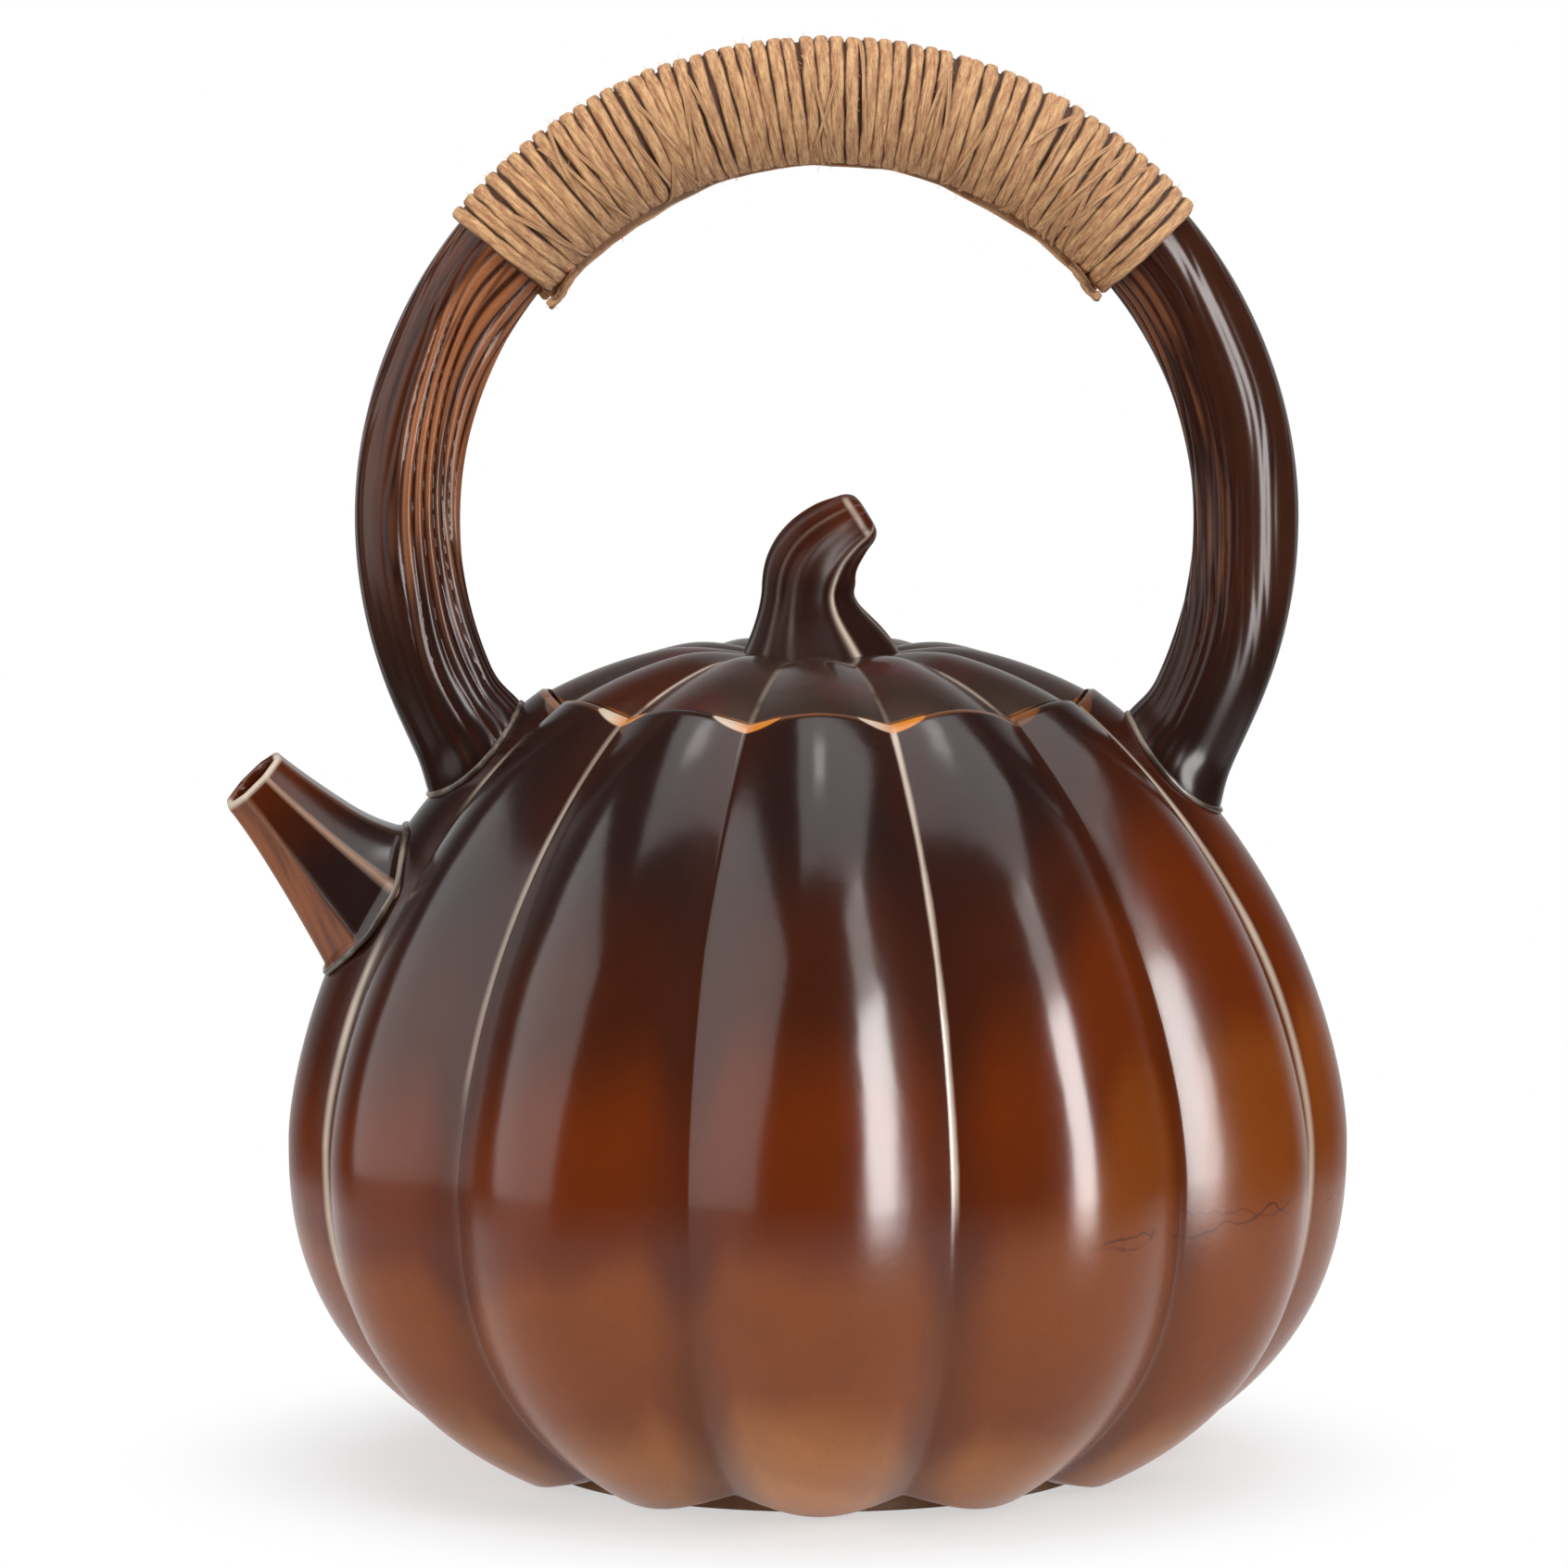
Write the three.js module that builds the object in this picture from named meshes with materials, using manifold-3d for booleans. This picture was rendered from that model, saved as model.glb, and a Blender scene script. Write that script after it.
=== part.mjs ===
import * as THREE from "three";
import { mergeVertices } from "three/addons/utils/BufferGeometryUtils.js";
import Module from "manifold-3d";

// A pumpkin-shaped stoneware teapot with an overhead handle that is bound in twine.
// Millimetres, Z up. The origin is on the table, under the middle of the teapot's whole length.
// The spout points to -X, and the front of the pot is -Y.

const wasm = await Module();
wasm.setup();

// Fits
const luteGap = 0.3; // between pieces of clay that are joined with slip
const lidPlay = 0.6; // round the lid's flange and the lid's edge
const twineGap = 0.3; // between the twine and what it is wound on
const buried = 8; // how far a leg or spout runs on into the body before it is cut to fit

// Lobes of the body and the lid
const lobeCount = 12;
const lobeSteps = 6;
const grooveSharpness = 0.8; // under 1 makes the groove a crease and the lobe full
const bellyGroove = 4.7;
const rimGroove = 2.2;
const baseGroove = 3.2;
const stemGroove = 0.5;

// Body
const bellyRadius = 70;
const bellyHeight = 43.2;
const lowerFullness = 2.47; // powers of the two curves above and below the belly
const upperFullness = 1.67;
const rimRadius = 36.3;
const rimHeight = 102.4;
const potWall = 4.5;
const floorThickness = 4.5;
const ledgeDepth = 4; // the ledge that the lid sits on, below the rim
const ledgeThickness = 4;
const lipWidth = 0.8;
const mouthRadius = 28.6;
const floorRound = 5; // width of the slope between the floor and the wall
const innerLobes = 0.5; // how much of the grooves' depth shows inside

// Foot ring
const footRadius = 37.5;
const footWidth = 6.5;
const footDepth = 3.7;
const footRound = 0.6;
const baseLap = 5.15; // how far the lobes reach out past the foot ring
const baseClearance = 0.5; // from the table to the lobes' lower edge

// Spout
const spoutOverhang = 4.5; // from the belly out to the middle of the spout's mouth
const spoutDrop = 11.8; // from the rim down to it
const spoutAngle = 45.6; // degrees above the table
const spoutSides = 8;
const spoutMouthRadius = 4.75; // to the flats
const spoutRootRadius = 9.1;
const spoutFlare = 1.3; // over 1 keeps the spout slim for longer
const spoutWall = 1;
const strainerRadius = 11;
const strainerWall = 2.2;
const strainerDepth = 6.5; // how far it bulges into the pot
const strainerSkirt = 3; // how far its open end runs on into the wall, which cuts it to fit
const strainerHole = 3.2;
const strainerHoles = 6; // round the one in the middle
const strainerPitch = 5.7; // radius of the circle that they are on

// Handle
const archInset = 15.1; // of the arch's middle line from the belly's radius
const archRise = 22.2; // of the middle of the arch's circle above the rim
const archShift = 1.1; // of the arch along X
const archDip = 20; // degrees that the arch goes on below its middle
const handleRadius = 6.95;
const handleRidges = 10;
const ridgeDepth = 0.8;
const ridgeSway = 7; // degrees that the ridges wander
const ridgeWaves = 5;
const legInset = 22.4; // of the legs at the shoulder from the belly's radius
const legLean = 1.4; // inward, where the leg goes into the body
const legFlare = 0.9; // added to the radius at the foot
const flareHeight = 14;

// Twine
const twineDiameter = 1.6;
const turnPitch = 1.85;
const turnGroove = 0.45; // between two turns
const windingLeft = 142; // degrees round the arch from +X
const windingRight = 39.5;
const knotRadius = 2.4;

// Lid
const lidCrown = 7; // rise from the edge to the middle, before the dimple
const lidFullness = 2.6;
const lidDimple = 3; // the hollow that the stem stands in
const dimpleRadius = 21;
const lidThickness = 3.6;
const flangeWidth = 3.2;
const flangeDepth = 10;
const flangeChamfer = 0.8;
const ventRadius = 1.4;
const ventReach = 20; // of the vent from the middle, toward the back

// Knob
const knobBaseRadius = 11.5; // where the stem's flare ends, a little under the lid's surface
const knobNeckRadius = 5.9;
const knobEndRadius = 3.25;
const knobHeight = 19; // from the lid's middle to the end of the stem
const knobLean = 2.1; // to the left at the neck
const knobCurl = 5.8; // to the right at the end
const knobRibs = 8;
const knobRibDepth = 0.14; // share of the radius

const colours = { glaze: 0x3a2620, amber: 0x7a3d1c, bare: 0xb08055, twine: 0xd9b98c };

// Manifold solids

function solidFrom(geometry) {
  const bare = geometry.clone();
  bare.deleteAttribute("normal");
  bare.deleteAttribute("uv");
  const merged = mergeVertices(bare, 1e-4);
  const index = merged.index.array;
  const corners = [];
  for (let i = 0; i < index.length; i += 3) {
    const [a, b, c] = index.slice(i, i + 3);
    if (a !== b && b !== c && c !== a) corners.push(a, b, c);
  }
  return new wasm.Manifold(
    new wasm.Mesh({
      numProp: 3,
      vertProperties: merged.attributes.position.array,
      triVerts: new Uint32Array(corners),
    }),
  );
}

function geometryFrom(solid) {
  const mesh = solid.getMesh();
  const geometry = new THREE.BufferGeometry();
  geometry.setAttribute("position", new THREE.BufferAttribute(mesh.vertProperties, mesh.numProp));
  geometry.setIndex(new THREE.BufferAttribute(mesh.triVerts, 1));
  geometry.computeVertexNormals();
  return geometry;
}

// Lobed surfaces of revolution

// 0 on the crest of a lobe and 1 in the groove between two lobes. A lobe faces the front.
function grooveShare(angle) {
  return 1 - Math.abs(Math.cos((lobeCount * angle) / 2)) ** grooveSharpness;
}

// One corner of a turned profile. A groove moves it by its depth against (nr, nz).
function corner(r, z, groove = 0, nr = 0, nz = 0) {
  return { r, z, groove, nr, nz };
}

function revolve(profile, segments) {
  const points = profile.map((p) => new THREE.Vector2(p.r, p.z));
  const geometry = new THREE.LatheGeometry(points, segments);
  const position = geometry.attributes.position;
  for (let i = 0; i < position.count; i++) {
    const p = profile[i % profile.length];
    const angle = (Math.floor(i / profile.length) / segments) * 2 * Math.PI;
    const depth = p.groove * grooveShare(angle);
    const r = p.r - p.nr * depth;
    position.setXYZ(i, r * Math.sin(angle), p.z - p.nz * depth, r * Math.cos(angle));
  }
  return geometry.rotateX(Math.PI / 2);
}

const lobedSegments = lobeCount * lobeSteps;
const roundSegments = 40;

// The body's crest line is one oval above the belly and one below it, each cut off at its end.
const upperOval = oval(rimRadius, rimHeight, upperFullness);
const lowerOval = oval(footRadius + baseLap, baseClearance, lowerFullness);

function oval(endRadius, endHeight, fullness) {
  return { endAngle: Math.acos(endRadius / bellyRadius), rise: endHeight - bellyHeight, fullness };
}

// A point of the crest line: share -1 is the lower edge, 0 the belly and 1 the rim
function crestPoint(share) {
  const { endAngle, rise, fullness } = share > 0 ? upperOval : lowerOval;
  const angle = Math.abs(share) * endAngle;
  const climb = (Math.sin(angle) / Math.sin(endAngle)) ** (2 / fullness);
  return new THREE.Vector2(bellyRadius * Math.cos(angle), bellyHeight + rise * climb);
}

function shareAtHeight(height) {
  const { endAngle, rise, fullness } = height > bellyHeight ? upperOval : lowerOval;
  const climb = (height - bellyHeight) / rise;
  const share = Math.asin(climb ** (fullness / 2) * Math.sin(endAngle)) / endAngle;
  return height > bellyHeight ? share : -share;
}

function shoulderHeight(radius) {
  return crestPoint(Math.acos(radius / bellyRadius) / upperOval.endAngle).y;
}

function crestNormal(share) {
  const step = 0.01;
  const low = crestPoint(Math.max(share - step, -1));
  const high = crestPoint(Math.min(share + step, 1));
  const along = high.sub(low).normalize();
  return new THREE.Vector2(along.y, -along.x);
}

function grooveDepth(share) {
  const end = share > 0 ? rimGroove : baseGroove;
  return THREE.MathUtils.lerp(bellyGroove, end, share * share);
}

// The body's wall from one share to another, set inward by a distance.
function wallProfile(from, to, steps, inset, grooveScale = 1) {
  const profile = [];
  for (let i = 0; i <= steps; i++) {
    const share = THREE.MathUtils.lerp(from, to, i / steps);
    const p = crestPoint(share);
    const n = crestNormal(share);
    const groove = grooveDepth(share) * grooveScale;
    profile.push(corner(p.x - n.x * inset, p.y - n.y * inset, groove, n.x, n.y));
  }
  return profile;
}

// Sweeps: a cylinder's surface laid along a path in the XZ plane, closed at both ends

function sweep(pathPoint, steps, sides, section) {
  const geometry = new THREE.CylinderGeometry(1, 1, 1, sides, steps);
  const position = geometry.attributes.position;
  const across = new THREE.Vector3(0, 1, 0);
  for (let i = 0; i < position.count; i++) {
    const x = position.getX(i);
    const z = position.getZ(i);
    const along = position.getY(i) + 0.5;
    const reach = Math.hypot(x, z) > 0.5 ? 1 : 0;
    const side = (Math.round((Math.atan2(x, z) / (2 * Math.PI)) * sides) + sides) % sides;
    const { centre, tangent } = pathPoint(along);
    const outward = tangent.clone().cross(across);
    const { radius, angle } = section(side, along);
    const point = centre
      .clone()
      .addScaledVector(outward, reach * radius * Math.sin(angle))
      .addScaledVector(across, reach * radius * Math.cos(angle));
    position.setXYZ(i, point.x, point.y, point.z);
  }
  return geometry;
}

function alongCurve(curve) {
  return (along) => ({ centre: curve.getPointAt(along), tangent: curve.getTangentAt(along) });
}

function sideAngle(side, sides) {
  return (side / sides) * 2 * Math.PI;
}

// Body

const ledgeHeight = rimHeight - ledgeDepth;
const lidEdgeRadius = rimRadius - lipWidth - lidPlay;

function filledBody(gap) {
  const wall = wallProfile(-1, 1, 20, -gap);
  const top = corner(0, wall.at(-1).z);
  const bottom = corner(0, wall[0].z);
  return solidFrom(revolve([bottom, ...wall, top], lobedSegments));
}

// The hollow of the pot from the underside of the ledge to the floor, made smaller by a gap
function hollowProfile(gap) {
  const floorTop = footDepth + luteGap + floorThickness;
  const top = shareAtHeight(ledgeHeight - ledgeThickness);
  const bottom = shareAtHeight(floorTop - potWall / 2);
  const wall = wallProfile(top, bottom, 7, potWall + gap, innerLobes);
  const floorEdge = corner(wall.at(-1).r - floorRound, floorTop + gap);
  return [...wall, floorEdge, corner(0, floorTop + gap)];
}

function potBody() {
  const rim = crestNormal(1);
  const underside = footDepth + luteGap;
  const rebate = footRadius + luteGap;
  const outer = wallProfile(-1, 1, 14, 0);
  const recess = rimRadius - lipWidth;
  const profile = [
    corner(0, underside),
    corner(rebate, underside),
    corner(rebate, baseClearance, baseGroove * 0.8, 0, -1),
    ...outer,
    corner(recess, rimHeight, rimGroove, rim.x, rim.y),
    corner(recess, ledgeHeight - ledgeThickness, rimGroove, rim.x, 0),
    ...hollowProfile(0),
  ];
  return solidFrom(revolve(profile, lobedSegments));
}

// The ring inside the rim that the lid sits on
function lidSeat() {
  const rim = crestNormal(1);
  const outer = rimRadius - lipWidth - luteGap;
  const bottom = ledgeHeight - ledgeThickness;
  const profile = [
    corner(mouthRadius, bottom),
    corner(outer, bottom, rimGroove, rim.x, 0),
    corner(outer, ledgeHeight, rimGroove, rim.x, 0),
    corner(mouthRadius, ledgeHeight),
    corner(mouthRadius, bottom),
  ];
  return solidFrom(revolve(profile, lobedSegments));
}

function footRing() {
  const inner = footRadius - footWidth;
  const profile = [
    corner(inner + footRound, 0),
    corner(footRadius - footRound, 0),
    corner(footRadius, footRound),
    corner(footRadius, footDepth),
    corner(inner, footDepth),
    corner(inner, footRound),
    corner(inner + footRound, 0),
  ];
  return solidFrom(revolve(profile, roundSegments));
}

// Spout: its own axis runs from the mouth down into the pot

const spoutTilt = THREE.MathUtils.degToRad(spoutAngle);
const spoutMouth = new THREE.Vector3(-bellyRadius - spoutOverhang, 0, rimHeight - spoutDrop);
const spoutInward = new THREE.Vector3(Math.cos(spoutTilt), 0, -Math.sin(spoutTilt));
const spoutLength = lengthToWall();

function spoutPoint(distance) {
  return { centre: spoutMouth.clone().addScaledVector(spoutInward, distance), tangent: spoutInward };
}

// From the spout's mouth along its axis to the body's wall, found by halving
function lengthToWall() {
  const halvings = 20;
  let outside = 0;
  let inside = bellyRadius;
  for (let i = 0; i < halvings; i++) {
    const middle = (outside + inside) / 2;
    const { x, z } = spoutPoint(middle).centre;
    if (z > shoulderHeight(Math.min(-x, bellyRadius))) outside = middle;
    else inside = middle;
  }
  return inside;
}

function spoutRadius(distance) {
  const share = Math.max(distance, 0) / spoutLength;
  return THREE.MathUtils.lerp(spoutMouthRadius, spoutRootRadius, share ** spoutFlare);
}

function spoutBlank() {
  const length = spoutLength + buried;
  const toCorner = 1 / Math.cos(Math.PI / spoutSides);
  return sweep(
    (along) => spoutPoint(along * length),
    8,
    spoutSides,
    (side, along) => ({
      radius: spoutRadius(along * length) * toCorner,
      angle: sideAngle(side + 0.5, spoutSides),
    }),
  );
}

function spoutBore() {
  const past = 2; // beyond the mouth
  const length = past + spoutLength + buried;
  const sides = 16;
  return sweep(
    (along) => spoutPoint(along * length - past),
    8,
    sides,
    (side, along) => ({
      radius: Math.min(spoutRadius(along * length - past) - spoutWall, strainerRadius - strainerWall * 2),
      angle: sideAngle(side, sides),
    }),
  );
}

// A pierced dome, turned about the spout's axis, whose open end meets the inside of the wall
function spoutStrainer() {
  const depth = strainerSkirt + potWall + strainerDepth;
  const turned = [
    new THREE.Vector2(strainerRadius, 0),
    ...domeArc(strainerRadius, depth, 5),
    ...domeArc(strainerRadius - strainerWall, depth - strainerWall, 5).reverse(),
    new THREE.Vector2(strainerRadius - strainerWall, 0),
    new THREE.Vector2(strainerRadius, 0),
  ];
  const dome = new THREE.LatheGeometry(turned, 16);
  const place = new THREE.Quaternion().setFromUnitVectors(new THREE.Vector3(0, 1, 0), spoutInward);
  const origin = spoutPoint(spoutLength - strainerSkirt).centre;
  dome.applyQuaternion(place).translate(origin.x, origin.y, origin.z);
  let solid = solidFrom(dome);
  const reach = depth + strainerSkirt;
  for (let i = 0; i <= strainerHoles; i++) {
    const angle = sideAngle(i, strainerHoles);
    const offset = i === strainerHoles ? 0 : strainerPitch;
    const drill = new THREE.CylinderGeometry(strainerHole / 2, strainerHole / 2, reach, 8);
    drill.translate(offset * Math.cos(angle), reach / 2, offset * Math.sin(angle));
    drill.applyQuaternion(place).translate(origin.x, origin.y, origin.z);
    solid = solid.subtract(solidFrom(drill));
  }
  const upward = [...hollowProfile(luteGap).reverse(), corner(0, ledgeHeight)];
  return solid.intersect(solidFrom(revolve(upward, lobedSegments)));
}

function domeArc(radius, depth, steps) {
  const points = [];
  for (let i = 1; i <= steps; i++) {
    const angle = (i / steps) * (Math.PI / 2);
    points.push(new THREE.Vector2(radius * Math.cos(angle), depth * Math.sin(angle)));
  }
  points.at(-1).x = 0;
  return points;
}

// Handle

const archHeight = rimHeight + archRise;
const archRadius = bellyRadius - archInset;
const legSpread = bellyRadius - legInset;

function archPoint(degrees, radius = archRadius) {
  const angle = THREE.MathUtils.degToRad(degrees);
  return new THREE.Vector3(
    archShift + radius * Math.cos(angle),
    0,
    archHeight + radius * Math.sin(angle),
  );
}

function handlePath() {
  const shoulder = shoulderHeight(legSpread);
  const points = [];
  const stepDegrees = 10;
  for (let degrees = 180 + archDip; degrees >= -archDip; degrees -= stepDegrees) {
    points.push(archPoint(degrees));
  }
  for (const hand of [-1, 1]) {
    const leg = [
      new THREE.Vector3(archShift + hand * legSpread, 0, shoulder),
      new THREE.Vector3(archShift + hand * (legSpread - legLean), 0, shoulder - buried),
    ];
    if (hand < 0) points.unshift(leg[1], leg[0]);
    else points.push(...leg);
  }
  return new THREE.CatmullRomCurve3(points, false, "centripetal");
}

function handleArch() {
  const curve = handlePath();
  const sides = handleRidges * 2;
  const shoulder = shoulderHeight(legSpread);
  const pathPoint = alongCurve(curve);
  const blank = sweep(pathPoint, 42, sides, (side, along) => {
    const height = curve.getPointAt(along).z;
    const flare = 1 - THREE.MathUtils.smoothstep(height, shoulder, shoulder + flareHeight);
    const sway = ridgeSway * Math.sin(ridgeWaves * 2 * Math.PI * along);
    const trough = side % 2 ? ridgeDepth : 0;
    return {
      radius: handleRadius + legFlare * flare - trough,
      angle: sideAngle(side, sides) + THREE.MathUtils.degToRad(sway),
    };
  });
  return solidFrom(blank).subtract(filledBody(luteGap));
}

// Twine

const windingInner = handleRadius + twineGap;
const windingOuter = windingInner + twineDiameter - twineGap;

// A turned sleeve bent round the arch, with one round bulge for each turn of twine
function twineWinding() {
  const arc = THREE.MathUtils.degToRad(windingLeft - windingRight) * archRadius;
  const turns = Math.round(arc / turnPitch);
  const valley = windingOuter - turnGroove;
  const profile = [new THREE.Vector2(windingInner, 0), new THREE.Vector2(valley, 0)];
  for (let i = 0; i < turns; i++) {
    profile.push(new THREE.Vector2(windingOuter, (i + 0.5) / turns));
    profile.push(new THREE.Vector2(valley, (i + 1) / turns));
  }
  const innerSteps = 16;
  for (let i = innerSteps; i >= 0; i--) {
    profile.push(new THREE.Vector2(windingInner, i / innerSteps));
  }
  const sleeve = new THREE.LatheGeometry(profile, 12);
  const position = sleeve.attributes.position;
  for (let i = 0; i < position.count; i++) {
    const degrees = THREE.MathUtils.lerp(windingLeft, windingRight, position.getY(i));
    const point = archPoint(degrees, archRadius + position.getX(i));
    position.setXYZ(i, point.x, position.getZ(i), point.z);
  }
  return solidFrom(sleeve);
}

// What lies along the underside of the winding follows a smaller circle than the arch
const undersideRadius = archRadius - windingOuter - twineGap - twineDiameter / 2;

function degreesPer(length) {
  return THREE.MathUtils.radToDeg(length / undersideRadius);
}

const knotInset = degreesPer(knotRadius);

// The strand that runs between the two knots
function twineTail() {
  const spare = 2 * knotInset + degreesPer(twineGap);
  const sides = 6;
  const pathPoint = (along) => {
    const degrees = THREE.MathUtils.lerp(windingLeft - spare, windingRight + spare, along);
    const angle = THREE.MathUtils.degToRad(degrees);
    const tangent = new THREE.Vector3(Math.sin(angle), 0, -Math.cos(angle));
    return { centre: archPoint(degrees, undersideRadius), tangent };
  };
  const strand = (side) => ({ radius: twineDiameter / 2, angle: sideAngle(side, sides) });
  return solidFrom(sweep(pathPoint, 20, sides, strand));
}

// A tie where the twine ends: one small loop that lies flat against the winding
function twineKnot(degrees) {
  const loop = new THREE.TorusGeometry(knotRadius - twineDiameter / 2, twineDiameter / 2, 8, 12);
  const place = archPoint(degrees, undersideRadius);
  loop.rotateY(Math.PI / 2 - THREE.MathUtils.degToRad(degrees));
  return solidFrom(loop.translate(place.x, place.y, place.z));
}

// Lid

function lidTopHeight(r) {
  const dimple = lidDimple * Math.max(0, 1 - (r / dimpleRadius) ** 2) ** 2;
  return rimHeight + lidCrown * (1 - (r / lidEdgeRadius) ** lidFullness) - dimple;
}

// The lid's upper surface from the edge to the middle, raised by a gap
function lidTop(gap, steps) {
  const rim = crestNormal(1);
  const profile = [];
  for (let i = 0; i < steps; i++) {
    const share = 1 - i / steps;
    const r = lidEdgeRadius * share;
    const groove = THREE.MathUtils.lerp(stemGroove, rimGroove, share ** 1.5);
    const lean = rim.x * share * share;
    profile.push(corner(r, lidTopHeight(r) + gap, groove, lean, Math.sqrt(1 - lean * lean)));
  }
  return [...profile, corner(0, lidTopHeight(0) + gap)];
}

const flangeRadius = mouthRadius - lidPlay;
const lidRings = 9;

function lidCap() {
  const rim = crestNormal(1);
  const seat = ledgeHeight + luteGap;
  const hollowRadius = flangeRadius - flangeWidth;
  const under = [];
  const steps = 3;
  for (let i = 0; i <= steps; i++) {
    const r = (hollowRadius * i) / steps;
    const roof = lidTopHeight(r) - lidThickness;
    const share = r / hollowRadius;
    under.push(corner(r, THREE.MathUtils.lerp(roof, seat, share ** 4)));
  }
  const profile = [
    ...under,
    corner(lidEdgeRadius, seat, rimGroove, rim.x, 0),
    ...lidTop(0, lidRings),
  ];
  const vent = new THREE.CylinderGeometry(ventRadius, ventRadius, 4 * lidThickness, 12);
  vent.rotateX(Math.PI / 2).translate(0, ventReach, lidTopHeight(ventReach));
  return solidFrom(revolve(profile, lobedSegments)).subtract(solidFrom(vent));
}

function lidFlange() {
  const inner = flangeRadius - flangeWidth;
  const bottom = ledgeHeight - flangeDepth;
  const profile = [
    corner(inner, bottom),
    corner(flangeRadius - flangeChamfer, bottom),
    corner(flangeRadius, bottom + flangeChamfer),
    corner(flangeRadius, ledgeHeight),
    corner(inner, ledgeHeight),
    corner(inner, bottom),
  ];
  return solidFrom(revolve(profile, roundSegments));
}

// The stem's middle line: shares of its height, and how far it stands to the side there
function knobPath() {
  const middle = lidTopHeight(0);
  const stations = [
    [-0.2, -0.1 * knobLean],
    [0.2, -0.65 * knobLean],
    [0.45, -knobLean],
    [0.71, -0.28 * knobLean],
    [0.9, 0.4 * knobCurl],
    [1, knobCurl],
  ];
  const points = stations.map(([share, x]) => new THREE.Vector3(x, 0, middle + share * knobHeight));
  return new THREE.CatmullRomCurve3(points, false, "centripetal");
}

function stemKnob() {
  const sides = knobRibs * 2;
  const { lerp, smoothstep } = THREE.MathUtils;
  const blank = sweep(alongCurve(knobPath()), 16, sides, (side, along) => {
    const stem = lerp(knobBaseRadius, knobNeckRadius, smoothstep(along, 0, 0.5));
    const radius = lerp(stem, knobEndRadius, smoothstep(along, 0.6, 1));
    const rib = side % 2 ? 1 - knobRibDepth : 1;
    return { radius: radius * rib, angle: sideAngle(side, sides) };
  });
  const lidBelow = [corner(0, ledgeHeight), ...lidTop(luteGap, lidRings)];
  return solidFrom(blank).subtract(solidFrom(revolve(lidBelow, lobedSegments)));
}

// Assembly

const glazed = { roughness: 0.15, metalness: 0 };
const materials = {
  glaze: { color: colours.glaze, ...glazed },
  amber: { color: colours.amber, ...glazed },
  bare: { color: colours.bare, roughness: 0.75, metalness: 0 },
  twine: { color: colours.twine, roughness: 0.95, metalness: 0 },
};

function piece(name, solid, finish) {
  const mesh = new THREE.Mesh(geometryFrom(solid), new THREE.MeshStandardMaterial(materials[finish]));
  mesh.name = name;
  return mesh;
}

const bore = solidFrom(spoutBore());
const spoutSolid = solidFrom(spoutBlank()).subtract(filledBody(luteGap)).subtract(bore);

const pot = new THREE.Group();
pot.add(piece("pot_body", potBody().subtract(bore), "amber"));
pot.add(piece("lid_seat", lidSeat(), "amber"));
pot.add(piece("foot_ring", footRing(), "bare"));
pot.add(piece("spout", spoutSolid, "glaze"));
pot.add(piece("spout_strainer", spoutStrainer(), "amber"));
pot.add(piece("handle_arch", handleArch(), "glaze"));

const binding = new THREE.Group();
binding.add(piece("twine_winding", twineWinding(), "twine"));
binding.add(piece("twine_tail", twineTail(), "twine"));
binding.add(piece("twine_knot_left", twineKnot(windingLeft - knotInset), "twine"));
binding.add(piece("twine_knot_right", twineKnot(windingRight + knotInset), "twine"));

const lid = new THREE.Group();
lid.add(piece("lid_cap", lidCap(), "glaze"));
lid.add(piece("lid_flange", lidFlange(), "glaze"));
lid.add(piece("stem_knob", stemKnob(), "glaze"));

const teapot = new THREE.Group();
teapot.add(pot, binding, lid);

// Everything above is laid out about the pot's axis; the origin is under the middle of the whole
const extent = new THREE.Box3().setFromObject(teapot);
teapot.position.x = -(extent.min.x + extent.max.x) / 2;

export default teapot;
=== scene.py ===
import math

import bmesh
import bpy
import numpy as np
from bpy.props import FloatProperty, FloatVectorProperty, IntProperty, PointerProperty
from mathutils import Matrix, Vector, noise


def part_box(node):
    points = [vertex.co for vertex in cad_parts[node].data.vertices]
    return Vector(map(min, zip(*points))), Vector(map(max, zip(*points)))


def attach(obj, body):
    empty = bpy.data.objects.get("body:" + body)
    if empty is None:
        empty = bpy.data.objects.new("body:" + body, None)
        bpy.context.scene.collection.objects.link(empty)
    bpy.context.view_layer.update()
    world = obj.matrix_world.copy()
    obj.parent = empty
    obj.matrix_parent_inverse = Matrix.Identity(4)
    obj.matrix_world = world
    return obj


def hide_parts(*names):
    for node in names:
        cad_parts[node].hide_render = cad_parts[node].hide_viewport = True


bl_info = {
    "name": "Lobed Teapot",
    "version": (1, 0, 0),
    "blender": (4, 5, 0),
    "location": "3D View > Sidebar > Teapot",
    "description": "Glazed, twine-bound surface of a lobed ceramic teapot, built over its CAD frame",
    "category": "Add Mesh",
}

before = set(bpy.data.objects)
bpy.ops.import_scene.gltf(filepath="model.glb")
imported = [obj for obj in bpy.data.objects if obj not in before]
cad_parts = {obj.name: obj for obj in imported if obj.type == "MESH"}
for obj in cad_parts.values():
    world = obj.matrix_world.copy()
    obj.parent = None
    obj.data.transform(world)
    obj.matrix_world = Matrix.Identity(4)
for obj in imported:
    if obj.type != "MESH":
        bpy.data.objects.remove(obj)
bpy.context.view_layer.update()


def box_middle(node):
    low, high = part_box(node)
    return [(a + b) / 2 for a, b in zip(low, high)]


def box_size(node):
    low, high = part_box(node)
    return [b - a for a, b in zip(low, high)]


# The pot's own axis stands over the middle of the foot ring
AXIS = np.array([box_middle("foot_ring")[0], 0.0, 0.0])


# Settings


def length(name, description, default):
    return FloatProperty(name=name, description=description, default=default, unit="LENGTH", precision=5)


def degrees(name, description, default):
    return FloatProperty(
        name=name, description=description, default=math.radians(default), subtype="ANGLE"
    )


def power(name, description, default):
    return FloatProperty(name=name, description=description, default=default)


def count(name, description, default):
    return IntProperty(name=name, description=description, default=default, min=1)


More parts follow.
